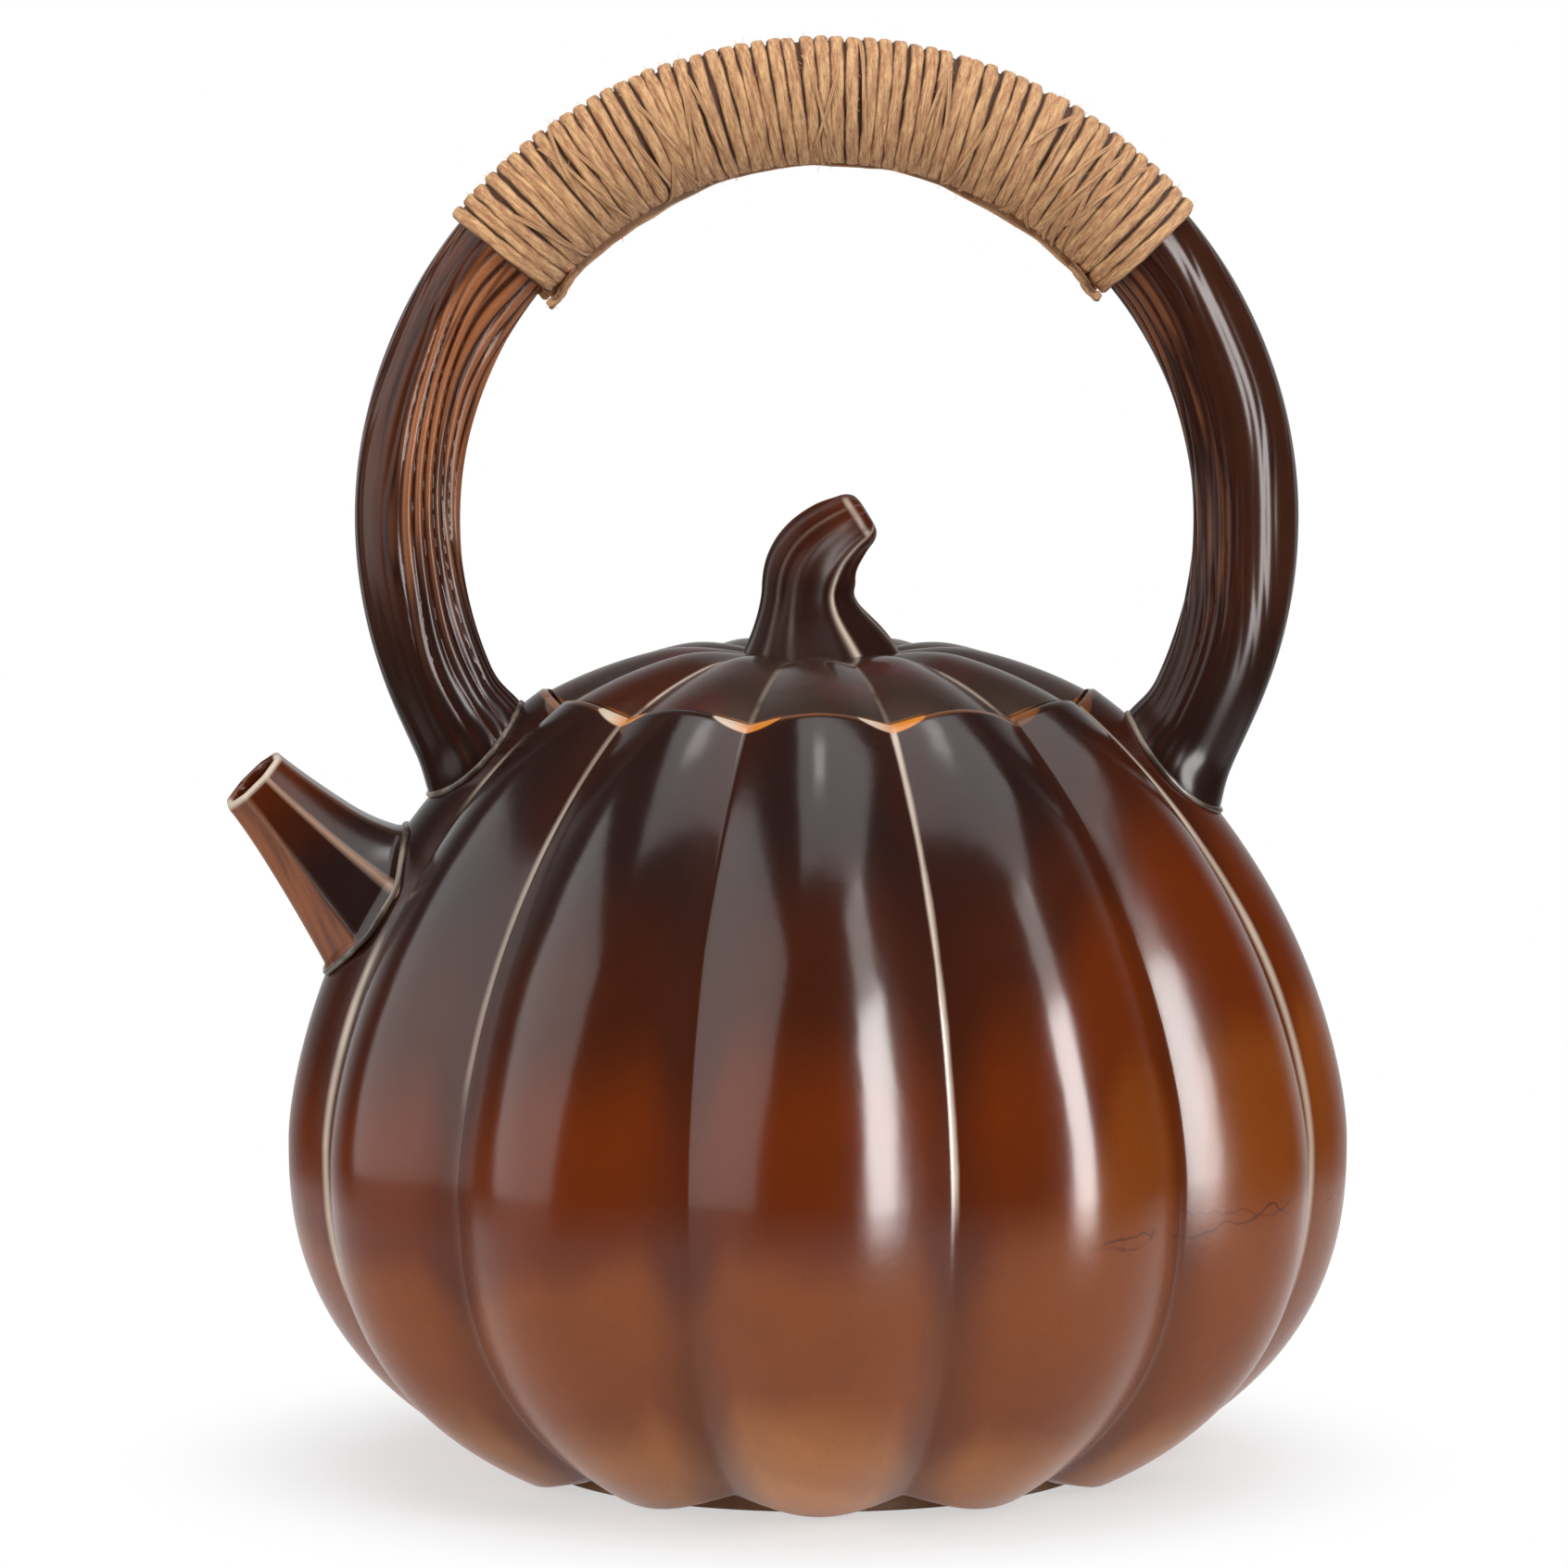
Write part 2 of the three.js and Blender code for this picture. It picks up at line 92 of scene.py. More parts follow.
def colour(name, description, red, green, blue):
    """A colour as eyes see it, from 0 to 255, kept as the light it reflects."""
    linear = [to_linear(value / 255) for value in (red, green, blue)]
    return FloatVectorProperty(
        name=name, description=description, default=linear, subtype="COLOR", size=3, min=0, max=1
    )


def to_linear(value):
    return value / 12.92 if value <= 0.04045 else ((value + 0.055) / 1.055) ** 2.4


class BodySettings(bpy.types.PropertyGroup):
    lobes: count("Lobes", "Number of lobes round the pot", 12)
    sharpness: power("Groove sharpness", "Lower creases the grooves and fills the lobes", 1.15)
    belly_radius: length("Belly radius", "Radius at the crest of a lobe", box_size("pot_body")[1] / 2)
    belly_height: length("Belly height", "Height of the widest place", 0.0432)
    lower_fullness: power("Lower fullness", "Power of the curve below the belly", 2.47)
    upper_fullness: power("Upper fullness", "Power of the curve above the belly", 1.67)
    rim_radius: length("Rim radius", "Radius of the mouth's outer edge", 0.0363)
    rim_height: length("Rim height", "Height of the mouth's edge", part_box("pot_body")[1][2])
    base_radius: length("Base radius", "Radius of the lobes' lower edge", 0.04265)
    base_height: length("Base height", "Height of the lobes' lower edge", 0.0005)
    belly_groove: length("Belly groove", "Depth of the grooves at the belly", 0.0052)
    rim_groove: length("Rim groove", "Depth of the grooves at the rim", 0.0022)
    base_groove: length("Base groove", "Depth of the grooves at the base", 0.0026)
    wall: length("Wall", "Thickness of the pot's wall", 0.0045)
    floor_height: length("Floor height", "Height of the pot's inside floor", 0.0085)
    underside: length("Underside height", "Height of the pot's underside inside the foot ring", 0.004)
    rebate_radius: length("Rebate radius", "Radius of the step that takes the foot ring", 0.0378)
    lip_width: length("Lip width", "Width of the lip outside the lid", 0.0008)
    ledge_depth: length("Ledge depth", "How far the lid's ledge lies under the rim", 0.004)
    ledge_thickness: length("Ledge thickness", "Thickness of the lid's ledge", 0.004)
    mouth_radius: length("Mouth radius", "Radius of the opening inside the ledge", 0.0286)
    hand_wobble: length("Hand wobble", "How far the hand-made wall strays", 0.00016)
    inner_lobes: power("Inner lobes", "How much of the grooves' depth shows inside", 0.5)
    seam_radius: length("Seam radius", "Radius of the roll of slip where a piece is joined on", 0.00042)


class SpoutSettings(bpy.types.PropertyGroup):
    sides: count("Sides", "Number of flats round the spout", 8)
    reach: length("Reach", "From the pot's axis to the middle of the spout's mouth", 0.0745)
    turn: degrees("Mouth turn", "How far the cut of the mouth is turned to the front", 9)
    root_flare: length("Root flare", "Added to the top of the spout toward the pot", 0.0022)
    fillet: length("Fillet", "Added to the radius where the spout meets the pot", 0.0005)
    fillet_height: length("Fillet height", "Height of the fillet over the pot's wall", 0.003)
    height: length("Height", "Height of the middle of the spout's mouth", 0.0906)
    angle: degrees("Angle", "How steeply the spout rises", 45.6)
    span: length("Length", "From the mouth to the pot's wall", 0.021)
    mouth_radius: length("Mouth radius", "From the spout's axis to a flat at its mouth", 0.00475)
    root_radius: length("Root radius", "From the spout's axis to a flat at its root", 0.0091)
    wall: length("Wall", "Thickness of the spout's wall", 0.0010)
    flare: power("Flare", "Over 1 keeps the spout slim for longer", 1.3)


class HandleSettings(bpy.types.PropertyGroup):
    arch_radius: length("Arch radius", "Radius of the arch's middle line", 0.0549)
    arch_height: length("Arch height", "Height of the middle of the arch's circle", 0.1246)
    arch_shift: length("Arch shift", "Shift of the arch from the pot's axis", 0.0011)
    arch_dip: degrees("Arch dip", "How far the arch goes on below its middle", 20)
    radius: length("Radius", "Radius of the handle on its ridges", 0.00695)
    leg_spread: length("Leg spread", "From the arch's middle to a leg at the shoulder", 0.0466)
    leg_lean: length("Leg lean", "How far a leg leans inward below the shoulder", 0.0022)
    fillet: length("Fillet", "Added to the radius where a leg meets the shoulder", 0.0016)
    fillet_height: length("Fillet height", "Height of the fillet over the shoulder", 0.010)
    ridges: count("Ridges", "Number of bark ridges round the handle", 24)
    inner_depth: length("Inner ridge depth", "Depth of the bark on the inside of the arch", 0.00042)
    outer_depth: length("Outer ridge depth", "Depth of the bark on the outside of the arch", 0.00006)


class TwineSettings(bpy.types.PropertyGroup):
    diameter: length("Diameter", "Thickness of the twine", 0.0016)
    pitch: length("Pitch", "From one turn to the next", 0.00185)
    left: degrees("Left end", "Where the winding ends, round the arch from +X", 142)
    right: degrees("Right end", "Where the winding starts, round the arch from +X", 39.5)
    lay: length("Lay", "Length of one twist of the two plies", 0.0085)
    ply_groove: length("Ply groove", "Depth of the groove between the two plies", 0.00014)
    looseness: length("Looseness", "How far a turn strays along the arch", 0.0005)
    slack_plies: count("Slack plies", "Number of thin plies that cross the turns", 40)
    fuzz: count("Fuzz", "Number of loose fibres", 1500)


class LidSettings(bpy.types.PropertyGroup):
    edge_radius: length("Edge radius", "Radius of the lid's edge", 0.0349)
    crown: length("Crown", "Rise from the edge to the middle, before the dimple", 0.007)
    fullness: power("Fullness", "Power of the lid's curve", 2.6)
    dimple: length("Dimple", "Depth of the hollow round the stem", 0.003)
    dimple_radius: length("Dimple radius", "Radius of the hollow round the stem", 0.021)
    thickness: length("Thickness", "Thickness of the lid", 0.0036)
    middle_groove: length("Middle groove", "Depth of the grooves at the stem", 0.0005)
    seat_gap: length("Seat gap", "Between the lid and its ledge", 0.0003)
    flange_width: length("Flange width", "Thickness of the ring under the lid", 0.0032)
    flange_depth: length("Flange depth", "Depth of the ring under the lid", 0.010)
    flange_radius: length("Flange radius", "Radius of the ring under the lid", 0.028)
    vent_radius: length("Vent radius", "Radius of the steam hole", 0.0014)
    vent_reach: length("Vent reach", "From the middle to the steam hole", 0.02)


class KnobSettings(bpy.types.PropertyGroup):
    base_radius: length("Base radius", "Radius of the stem's flare", 0.0122)
    neck_radius: length("Neck radius", "Radius of the stem's neck", 0.0059)
    end_radius: length("End radius", "Radius of the stem's cut end", 0.0038)
    end_turn: degrees("End turn", "Direction of the cut end above the table", 32)
    height: length("Height", "From the lid's middle to the end of the stem", 0.0192)
    lean: length("Lean", "To the left at the neck", 0.0013)
    curl: length("Curl", "To the right at the end", 0.0064)
    rib_height: length("Rib height", "Height of the ribs along the stem", 0.00055)
    fine_rib_height: length("Fine rib height", "Height of the three fine ribs at the left", 0.00034)
    rib_width: degrees("Rib width", "Half width of a rib, round the stem", 6.5)


class GlazeSettings(bpy.types.PropertyGroup):
    shoulder: colour("Shoulder", "Thick glaze at the top of the pot", 44, 25, 22)
    waist: colour("Waist", "Glaze where the dark turns to amber", 72, 30, 14)
    amber: colour("Amber", "Glaze at the belly", 112, 44, 5)
    caramel: colour("Caramel", "Glaze under the belly", 138, 67, 16)
    # The ochre is lighter than the thin glaze itself, to paint in the table's bounce light on the pot's lower
    # edge.
    ochre: colour("Ochre", "Thin glaze at the lower edge", 226, 152, 84)
    # Cream is also painted as highlights: in the grooves, on the rim, on the stem's ribs, on the spout's
    # arrises and lip, and along the seams.
    cream: colour("Cream", "Glaze that breaks on an edge", 226, 205, 184)
    orange: colour("Orange", "Glaze that breaks on the lip", 226, 138, 48)
    bark_light: colour("Light bark", "Thin glaze on the inside of the handle", 176, 108, 66)
    bark_dark: colour("Dark bark", "Glaze in the hollows of the bark", 58, 22, 12)
    bare_clay: colour("Bare clay", "Unglazed clay of the foot", 176, 142, 108)


class TwineColours(bpy.types.PropertyGroup):
    light: colour("Light fibre", "Top of the twine", 255, 204, 144)
    # The dark fibre colours the darker streaks, and is also painted between the plies as their shade.
    dark: colour("Dark fibre", "Fibre in the hollows of the twine", 176, 105, 60)
    # Painted shade: the colour at the sides of each strand and between the turns.
    painted_shade_fibre: colour("Deep fibre", "Fibre between the turns of the twine", 96, 58, 34)


class StudioSettings(bpy.types.PropertyGroup):
    camera_reach: length("Camera reach", "From the pot's axis to the camera", 0.986)
    camera_height: length("Camera height", "Height of the camera over the table", 0.1853)
    camera_side: length("Camera side", "From the pot's axis to the camera's middle line", -0.00449)
    aim_height: length("Aim height", "Height that the camera looks at", 0.0899)
    focal_length: power("Focal length", "Lens in millimetres", 173.0)
    table_radius: length("Table radius", "Radius of the table top", 0.26)


SETTINGS = {
    "teapot_body": BodySettings,
    "teapot_spout": SpoutSettings,
    "teapot_handle": HandleSettings,
    "teapot_twine": TwineSettings,
    "teapot_lid": LidSettings,
    "teapot_knob": KnobSettings,
    "teapot_glaze": GlazeSettings,
    "teapot_fibre": TwineColours,
    "teapot_studio": StudioSettings,
}


# Meshes


def loft(name, rings, closed=False):
    """A smooth mesh through rows of rings. It is closed by a hub at each end, or end to end."""
    rows, columns = rings.shape[:2]
    points = rings.reshape(-1, 3)
    index = np.arange(rows * columns).reshape(rows, columns)
    if closed:
        index = np.vstack([index, index[:1]])
    near, far = index[:-1], index[1:]
    quads = np.stack([near, np.roll(near, -1, 1), np.roll(far, -1, 1), far], axis=-1)
    faces = quads.reshape(-1, 4).tolist()
    if not closed:
        hubs = np.array([rings[0].mean(axis=0), rings[-1].mean(axis=0)])
        for hub, ring in ((len(points), index[0]), (len(points) + 1, index[-1])):
            faces += [[hub, a, b] for a, b in zip(ring.tolist(), np.roll(ring, -1).tolist())]
        points = np.vstack([points, hubs])
    mesh = bpy.data.meshes.new(name)
    mesh.from_pydata((points + AXIS).tolist(), [], faces)
    return finished(name, mesh)


def finished(name, mesh):
    shape = bmesh.new()
    shape.from_mesh(mesh)
    bmesh.ops.recalc_face_normals(shape, faces=shape.faces)
    shape.to_mesh(mesh)
    shape.free()
    mesh.shade_smooth()
    mesh.set_sharp_from_angle(angle=math.radians(50))
    piece = bpy.data.objects.new(name, mesh)
    bpy.context.scene.collection.objects.link(piece)
    return piece


def mark(piece, name, values):
    """Keeps one number for each point, for a material to read. The hubs get 0."""
    every = np.zeros(len(piece.data.vertices), dtype=np.float32)
    every[: values.size] = values.reshape(-1)
    layer = piece.data.attributes.new(name, "FLOAT", "POINT")
    layer.data.foreach_set("value", every)


def place(piece, body, slot, *nodes):
    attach(piece, body)
    if nodes:
        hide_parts(*nodes)


def wander(points, grain, amount):
    """Smooth chance movement in metres at each point, the same on every run."""
    flat = points.reshape(-1, 3) / grain
    drift = np.array([noise.noise(Vector(p)) for p in flat.tolist()])
    return drift.reshape(points.shape[:-1]) * amount


def smooth_chance(values, row):
    """Smooth chance values between -1 and 1 along a line, the same on every run."""
    return np.array([noise.noise(Vector((v, row, 0.0))) for v in values.tolist()])


def ease(value, low, high):
    step = np.clip((value - low) / (high - low), 0, 1)
    return step * step * (3 - 2 * step)


def round_angles(columns):
    return np.arange(columns) / columns * 2 * math.pi


# The lobed shape


def groove_share(angle, body):
    """0 on the crest of a lobe and 1 in the groove beside it. A lobe faces the front."""
    return 1 - np.abs(np.cos(body.lobes * angle / 2)) ** body.sharpness


def crest_line(where, body):
    """Radius and height on a lobe's crest: -1 is the lower edge, 0 the belly and 1 the rim."""
    upper = where > 0
    end_radius = np.where(upper, body.rim_radius, body.base_radius)
    end_height = np.where(upper, body.rim_height, body.base_height)
    fullness = np.where(upper, body.upper_fullness, body.lower_fullness)
    end_angle = np.arccos(end_radius / body.belly_radius)
    angle = np.abs(where) * end_angle
    climb = (np.sin(angle) / np.sin(end_angle)) ** (2 / fullness)
    height = body.belly_height + (end_height - body.belly_height) * climb
    return body.belly_radius * np.cos(angle), height


def crest_normal(where, body):
    step = 0.01
    low = crest_line(np.maximum(where - step, -1), body)
    high = crest_line(np.minimum(where + step, 1), body)
    along = np.hypot(high[0] - low[0], high[1] - low[1])
    return (high[1] - low[1]) / along, -(high[0] - low[0]) / along


def rim_slope(body):
    """The way out of the wall at the rim: how much across, and how much up."""
    across, up = crest_normal(1.0, body)
    return float(across), float(up)


def groove_depth(where, body):
    end = np.where(where > 0, body.rim_groove, body.base_groove)
    return body.belly_groove + (end - body.belly_groove) * where**2


def wall_rows(start, stop, steps, inset, scale, body):
    """Rows of a turned wall: radius, height, groove depth, and the way that a groove goes in."""
    where = np.linspace(start, stop, steps)
    radius, height = crest_line(where, body)
    across, up = crest_normal(where, body)
    groove = groove_depth(where, body) * scale
    return np.stack([radius - across * inset, height - up * inset, groove, across, up], axis=1)


def straight_rows(start, stop, steps, include_end=True):
    """Rows between two rows of a turned wall."""
    shares = np.linspace(0, 1, steps, endpoint=include_end)[:, None]
    return np.asarray(start) * (1 - shares) + np.asarray(stop) * shares


def turned(rows, angles, body):
    """Turns the rows about the pot's axis, with the lobes pressed in."""
    radius, height, groove, across, up = [rows[:, i, None] for i in range(5)]
    depth = groove * groove_share(angles, body)[None, :]
    reach = radius - across * depth
    rise = height - up * depth
    return np.stack([reach * np.sin(angles), -reach * np.cos(angles), rise], axis=-1)


def ring_section(outer, inner, bottom, top, soft, top_soft, steps, groove=0, across=0):
    """Rows round the section of a ring with rounded corners. The grooves are in its outer side."""
    rows = []
    corners = ((outer, bottom, -90), (outer, top, 0), (inner, top, 90), (inner, bottom, 180))
    for radius, height, start in corners:
        small = soft if height == bottom else top_soft
        middle_r = radius - small if radius == outer else radius + small
        middle_z = height + small if height == bottom else height - small
        depth = groove if radius == outer else 0
        for turn in np.radians(np.linspace(start, start + 90, steps)):
            row = [middle_r + small * math.cos(turn), middle_z + small * math.sin(turn)]
            rows.append([*row, depth, across, 0])
    return np.array(rows)


def half_turn(bearing):
    """The same bearing in degrees, between -180 and 180."""
    return (bearing + 180) % 360 - 180


def bearings(angles):
    """Degrees from the front, with the right side positive."""
    return half_turn(np.degrees(angles))


def beside_groove(bearing, groove, body):
    """True for the bearings that lie nearer to this groove than to the next one."""
    return np.abs(half_turn(bearing - groove)) < 180 / body.lobes


def shoulder_height(x, y, body):
    """Height of the pot's outside over a point of the plan."""
    radius = np.clip(np.hypot(x, y), body.rim_radius, body.belly_radius)
    end_angle = math.acos(body.rim_radius / body.belly_radius)
    where = np.arccos(radius / body.belly_radius) / end_angle
    height = crest_line(where, body)[1]
    up = np.maximum(crest_normal(where, body)[1], 0.2)
    return height - groove_depth(where, body) * groove_share(np.arctan2(x, -y), body) / up


# Sweeps along a line in the XZ plane


def even_path(points, steps):
    """Evenly spaced points on a line, with the tangent and the distance at each."""
    lengths = np.concatenate([[0], np.cumsum(np.linalg.norm(np.diff(points, axis=0), axis=1))])
    stations = np.linspace(0, lengths[-1], steps)
    line = np.stack([np.interp(stations, lengths, points[:, i]) for i in range(3)], axis=1)
    return line, unit(np.gradient(line, axis=0)), stations


def unit(vectors):
    """The vectors, each made one long."""
    return vectors / np.linalg.norm(vectors, axis=1)[:, None]


def square_to(tangent, vectors):
    """The part of the vectors that is square to the tangent, made one long."""
    return unit(vectors - tangent * np.sum(vectors * tangent, axis=1)[:, None])


def bezier(start, start_pull, end_pull, end, steps):
    t = np.linspace(0, 1, steps)[:, None]
    points = [np.asarray(p) for p in (start, start_pull, end_pull, end)]
    weights = [(1 - t) ** 3, 3 * t * (1 - t) ** 2, 3 * t * t * (1 - t), t**3]
    return sum(w * p for w, p in zip(weights, points))


def swept(line, tangent, radius, angles):
    """Rings round a line. Angle 0 points away from the line's bend, and 90 degrees to the back."""
    side = np.array([0.0, 1.0, 0.0])
    outward = np.cross(tangent, side)
    across = outward[:, None, :] * np.cos(angles)[..., None] + side * np.sin(angles)[..., None]
    return line[:, None, :] + across * radius[..., None]


# Shader nodes

# How strongly a finish mirrors the lamps: full gloss, and the quieter bark and stem
GLAZE_IOR = 1.42
BARK_IOR = 1.3
STEM_IOR = 1.22


def add(tree, kind, feed=None, **settings):
    """Adds one node. Feed gives its inputs, each a value or the socket that it comes from."""
    node = tree.nodes.new(kind)
    for key, value in settings.items():
        setattr(node, key, value)
    for key, value in (feed or {}).items():
        if isinstance(value, bpy.types.NodeSocket):
            tree.links.new(value, node.inputs[key])
        else:
            node.inputs[key].default_value = value
    return node


def maths(tree, operation, *values):
    node = add(tree, "ShaderNodeMath", dict(enumerate(values)), operation=operation)
    return node.outputs[0]


def times(tree, first, second):
    return maths(tree, "MULTIPLY", first, second)


def times_add(tree, first, second, third):
    """The first times the second, plus the third."""
    return maths(tree, "MULTIPLY_ADD", first, second, third)


def centred(tree, value):
    """Noise that lies about 0 in place of 0.5."""
    return maths(tree, "SUBTRACT", value, 0.5)


def ranged(tree, value, low, high, start=0.0, stop=1.0):
    """The value spread smoothly from low and high to start and stop."""
    feed = {"Value": value, "From Min": low, "From Max": high, "To Min": start, "To Max": stop}
    node = add(tree, "ShaderNodeMapRange", feed, interpolation_type="SMOOTHSTEP")
    return node.outputs["Result"]


def blended(tree, amount, first, second, blend="MIX"):
    node = add(tree, "ShaderNodeMix", data_type="RGBA", blend_type=blend)
    for key, value in ((0, amount), (6, first), (7, second)):
        if isinstance(value, bpy.types.NodeSocket):
            tree.links.new(value, node.inputs[key])
        elif key == 0:
            node.inputs[key].default_value = value
        else:
            node.inputs[key].default_value = (*value, 1)
    return node.outputs[2]


def grain(tree, place_socket, scale, detail=2.0, roughness=0.5):
    feed = {"Vector": place_socket, "Scale": scale, "Detail": detail, "Roughness": roughness}
    return add(tree, "ShaderNodeTexNoise", feed).outputs["Fac"]


def point_mark(tree, name):
    return add(tree, "ShaderNodeAttribute", attribute_name=name).outputs["Fac"]


def on_axis(tree):
    """Place on the object, from the pot's own axis."""
    here = add(tree, "ShaderNodeTexCoord").outputs["Object"]
    node = add(tree, "ShaderNodeVectorMath", {0: here, 1: tuple(AXIS)}, operation="SUBTRACT")
    return node.outputs[0]


def stretched(tree, place_socket, x, y, z):
    node = add(tree, "ShaderNodeVectorMath", {0: place_socket, 1: (x, y, z)}, operation="MULTIPLY")
    return node.outputs[0]


def new_group(name, inputs, outputs):
    """An empty group with its inputs (name: default) and outputs, all plain numbers."""
    tree = bpy.data.node_groups.new(name, "ShaderNodeTree")
    for label, default in inputs.items():
        socket = tree.interface.new_socket(label, in_out="INPUT", socket_type="NodeSocketFloat")
        socket.default_value = default
    for label in outputs:
        tree.interface.new_socket(label, in_out="OUTPUT", socket_type="NodeSocketFloat")
    start = add(tree, "NodeGroupInput")
    return tree, start.outputs


def close_group(tree, **results):
    feed = {label.replace("_", " "): socket for label, socket in results.items()}
    add(tree, "NodeGroupOutput", feed)
    return tree


def groove_group():
    """A thin line in each groove, the hollow round it, and how far away and how deep the groove is."""
    widths = {"Line Width": 0.0006, "Hollow Width": 0.005, "Wander": 0.0004, "Shift": 0.0034}
    tree, given = new_group(
        "Lobe Grooves",
        {"Lobes": 12.0, "Sharpness": 1.15, **widths},
        ["Line", "Hollow", "Away", "Share"],
    )
    here = on_axis(tree)
    parts = add(tree, "ShaderNodeSeparateXYZ", {0: here}).outputs
    bearing = maths(tree, "ARCTAN2", parts["X"], times(tree, parts["Y"], -1.0))
    turn = maths(tree, "DIVIDE", bearing, 2 * math.pi)
    lobe = maths(tree, "FRACT", times_add(tree, turn, given["Lobes"], 60.0))
    offset = centred(tree, lobe)
    span = maths(tree, "DIVIDE", 2 * math.pi, given["Lobes"])
    flat = add(tree, "ShaderNodeCombineXYZ", {"X": parts["X"], "Y": parts["Y"]}).outputs[0]
    radius = add(tree, "ShaderNodeVectorMath", {0: flat}, operation="LENGTH").outputs["Value"]
    away = times(tree, times(tree, offset, span), radius)
    # The line serves as the cream line in the grooves, partly a painted highlight; toward the sides of the
    # pot it moves off the groove's middle and grows broader.
    stray = centred(tree, grain(tree, here, 90.0, 3.0))
    sideways = maths(tree, "SINE", bearing)
    steep = maths(tree, "POWER", maths(tree, "ABSOLUTE", sideways), 8.0)
    lower = ranged(tree, parts["Z"], 0.104, 0.060, 0.2, 1.0)
    beside = times(tree, times(tree, steep, lower), given["Shift"])
    beside = times(tree, beside, maths(tree, "SIGN", sideways))
    line_away = maths(tree, "ABSOLUTE", maths(tree, "SUBTRACT", away, beside))
    line_away = times_add(tree, stray, given["Wander"], line_away)
    broad = times_add(tree, times(tree, steep, lower), 0.9, 1.0)
    line = ranged(tree, line_away, times(tree, broad, given["Line Width"]), 0.0)
    hollow = ranged(tree, maths(tree, "ABSOLUTE", away), given["Hollow Width"], 0.0)
    half_turns = times(tree, times(tree, bearing, given["Lobes"]), 0.5)
    fullness = maths(tree, "ABSOLUTE", maths(tree, "COSINE", half_turns))
    share = maths(tree, "SUBTRACT", 1.0, maths(tree, "POWER", fullness, given["Sharpness"]))
    return close_group(tree, Line=line, Hollow=hollow, Away=away, Share=share)


def speckle_group():
    """Fine iron specks and cloudy variation in a fired surface."""
    tree, given = new_group(
        "Kiln Speckle",
        {"Speck Scale": 2600.0, "Cloud Scale": 60.0, "Specks": 0.5},
        ["Shade", "Specks"],
    )
    here = on_axis(tree)
    fine = grain(tree, here, given["Speck Scale"], 2.0, 0.6)
    cloud = grain(tree, here, given["Cloud Scale"], 5.0, 0.55)
    specks = times(tree, ranged(tree, fine, 0.6, 0.72), given["Specks"])
    shade = times_add(tree, fine, 0.35, times(tree, cloud, 0.65))
    return close_group(tree, Shade=shade, Specks=specks)


def ripple_group():
    """Height of the slow waves and the fine orange peel of a poured glaze, in metres."""
    tree, given = new_group(
        "Glaze Ripple", {"Wave Height": 0.0001, "Peel Height": 0.000006}, ["Height", "Peel"]
    )
    here = on_axis(tree)
    flow = stretched(tree, here, 1.0, 1.0, 0.35)
    wave = times(tree, grain(tree, flow, 130.0, 2.0), given["Wave Height"])
    fine = grain(tree, here, 1400.0, 2.0)
    peel = times(tree, fine, given["Peel Height"])
    return close_group(tree, Height=maths(tree, "ADD", wave, peel), Peel=fine)


def use_group(tree, name, **feed):
    node = add(tree, "ShaderNodeGroup", node_tree=bpy.data.node_groups[name])
    for label, value in feed.items():
        node.inputs[label.replace("_", " ")].default_value = value
    return node.outputs


def new_material(name):
    material = bpy.data.materials.new(name)
    material.use_nodes = True
    tree = material.node_tree
    return material, tree, tree.nodes["Principled BSDF"]


def feed_surface(tree, surface, base, rough, height=None, strength=1.0, ior=None):
    tree.links.new(base, surface.inputs["Base Color"])
    tree.links.new(rough, surface.inputs["Roughness"])
    if height is not None:
        bump = add(tree, "ShaderNodeBump", {"Height": height, "Strength": strength, "Distance": 1.0})
        tree.links.new(bump.outputs[0], surface.inputs["Normal"])
    if ior is not None:
        surface.inputs["IOR"].default_value = ior


def colour_run(tree, value, stops):
    """A colour that runs through stops of (place, colour)."""
    node = add(tree, "ShaderNodeValToRGB", {"Fac": value})
    ramp = node.color_ramp
    ramp.interpolation = "EASE"
    while len(ramp.elements) < len(stops):
        ramp.elements.new(0.5)
    for element, (where, tint) in zip(ramp.elements, sorted(stops)):
        element.position = where
        element.color = (*tint, 1)
    return node.outputs["Color"]


def specked(tree, base, shade, specks, dark, clouds=0.2):
    """The base colour with its cloudy variation and its iron specks."""
    lighter = blended(tree, 1.0, base, cloud_tint(tree, shade, clouds), "MULTIPLY")
    return blended(tree, specks, lighter, dark)


def cloud_tint(tree, shade, clouds):
    level = ranged(tree, shade, 0.3, 0.7, 1 - clouds, 1 + clouds)
    return add(tree, "ShaderNodeCombineColor", {0: level, 1: level, 2: level}).outputs[0]


